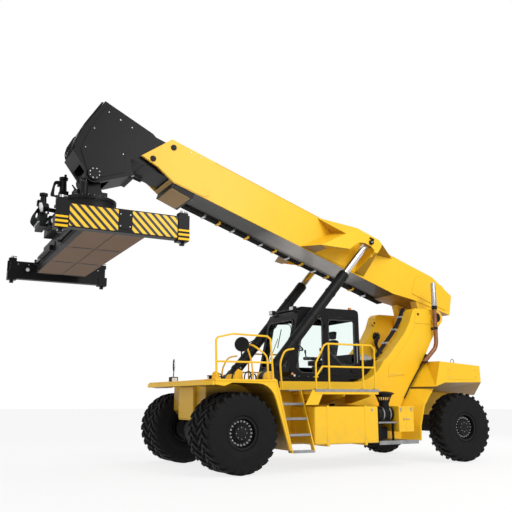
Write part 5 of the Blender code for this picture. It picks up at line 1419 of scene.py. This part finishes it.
class StackerLook(PropertyGroup):
    """Colours and repeats that a user may change."""

    yellow: FloatVectorProperty(name="Yellow", description="Machine enamel", subtype="COLOR", size=3, min=0,
            max=1,
                                default=(0.96, 0.56, 0.014))
    black: FloatVectorProperty(name="Black", description="Enamel of the boom's nose, cab and spreader",
            subtype="COLOR",
                               size=3, min=0, max=1, default=(0.005, 0.005, 0.006))
    lugs: IntProperty(name="Lugs", description="Tread lugs on each side of a tyre", default=26, min=12,
            max=48)
    studs: IntProperty(name="Studs", description="Wheel studs in each ring", default=20, min=6, max=30)


class StackerLight(PropertyGroup):
    """The studio's light."""

    key: FloatProperty(name="Key", description="Power of the largest lamp, in watts", default=1000.0, min=0)
    fill: FloatProperty(name="Fill", description="Strength of the even light all round", default=0.72, min=0)
    floor_white: FloatProperty(name="White floor", description="Share of the floor that shows plain white",
            default=0.80,
                               min=0, max=1, subtype="FACTOR")


class STACKER_OT_finishes(Operator):
    """Makes the finishes and puts them on the frame"""

    bl_idname = "stacker.finishes"
    bl_label = "Finishes"

    def execute(self, context):
        FINISHES.update(make_finishes(context.scene.stacker_look))
        cad_finishes()
        return {"FINISHED"}


class STACKER_OT_wheels(Operator):
    """Lugged tyres, hubs, studs and axle gear"""

    bl_idname = "stacker.wheels"
    bl_label = "Wheels"

    def execute(self, context):
        wheels(context.scene.stacker_look)
        axle_gear()
        return {"FINISHED"}


class STACKER_OT_platforms(Operator):
    """Decks, ladders and grab rails"""

    bl_idname = "stacker.platforms"
    bl_label = "Platforms"

    def execute(self, context):
        platforms()
        rail_trim()
        return {"FINISHED"}


class STACKER_OT_body(Operator):
    """Frame doublers, tank fittings, nose plate and mast gear"""

    bl_idname = "stacker.body"
    bl_label = "Body"

    def execute(self, context):
        body_trim()
        mast_gear()
        return {"FINISHED"}


class STACKER_OT_lamps(Operator):
    """Work lamps and mirrors on their stalks"""

    bl_idname = "stacker.lamps"
    bl_label = "Lamps and mirrors"

    def execute(self, context):
        lamps_and_mirrors()
        return {"FINISHED"}


class STACKER_OT_tail(Operator):
    """Hood panels, grille and tail lamps"""

    bl_idname = "stacker.tail"
    bl_label = "Tail"

    def execute(self, context):
        tail_and_hood()
        return {"FINISHED"}


class STACKER_OT_exhaust(Operator):
    """Exhaust pipe, clamp and guard"""

    bl_idname = "stacker.exhaust"
    bl_label = "Exhaust"

    def execute(self, context):
        exhaust()
        return {"FINISHED"}


class STACKER_OT_services(Operator):
    """Air cleaner, battery box and foot plate"""

    bl_idname = "stacker.services"
    bl_label = "Services"

    def execute(self, context):
        air_and_battery()
        return {"FINISHED"}


class STACKER_OT_cab(Operator):
    """Cab fittings, seat and controls"""

    bl_idname = "stacker.cab"
    bl_label = "Cab"

    def execute(self, context):
        cab_fittings()
        cab_inside()
        return {"FINISHED"}


class STACKER_OT_boom(Operator):
    """Boom fittings and head"""

    bl_idname = "stacker.boom"
    bl_label = "Boom"

    def execute(self, context):
        boom_trim()
        inner_boom_trim()
        return {"FINISHED"}


class STACKER_OT_rams(Operator):
    """Glands, pipes and base pins"""

    bl_idname = "stacker.rams"
    bl_label = "Lift cylinders"

    def execute(self, context):
        ram_trim()
        return {"FINISHED"}


class STACKER_OT_spreader(Operator):
    """Yoke, rotator, spreader and end beams"""

    bl_idname = "stacker.spreader"
    bl_label = "Spreader"

    def execute(self, context):
        yoke_and_rotator()
        spreader_trim()
        end_beams()
        return {"FINISHED"}


class STACKER_OT_stage(Operator):
    """Floor, lamps and camera"""

    bl_idname = "stacker.stage"
    bl_label = "Stage"

    def execute(self, context):
        stage(context.scene.stacker_light)
        return {"FINISHED"}


PARTS = (
    STACKER_OT_finishes,
    STACKER_OT_wheels,
    STACKER_OT_platforms,
    STACKER_OT_body,
    STACKER_OT_lamps,
    STACKER_OT_tail,
    STACKER_OT_exhaust,
    STACKER_OT_services,
    STACKER_OT_cab,
    STACKER_OT_boom,
    STACKER_OT_rams,
    STACKER_OT_spreader,
    STACKER_OT_stage,
)     # in the order they are made


class STACKER_PT_parts(Panel):
    """The parts, in the order they are made."""

    bl_label = "Reach stacker"
    bl_space_type = "VIEW_3D"
    bl_region_type = "UI"
    bl_category = "Reach stacker"

    def draw(self, context):
        for group in (context.scene.stacker_look, context.scene.stacker_light):
            for key in group.__annotations__:
                self.layout.prop(group, key)
        for made in PARTS:
            self.layout.operator(made.bl_idname)


CLASSES = (StackerLook, StackerLight, *PARTS, STACKER_PT_parts)


def register():
    for made in CLASSES:
        bpy.utils.register_class(made)
    bpy.types.Scene.stacker_look = PointerProperty(type=StackerLook)
    bpy.types.Scene.stacker_light = PointerProperty(type=StackerLight)


def unregister():
    del bpy.types.Scene.stacker_look, bpy.types.Scene.stacker_light
    for made in reversed(CLASSES):
        bpy.utils.unregister_class(made)


def main():
    register()
    for made in PARTS:
        group, name = made.bl_idname.split(".")
        getattr(getattr(bpy.ops, group), name)()


if __name__ == "__main__":
    main()
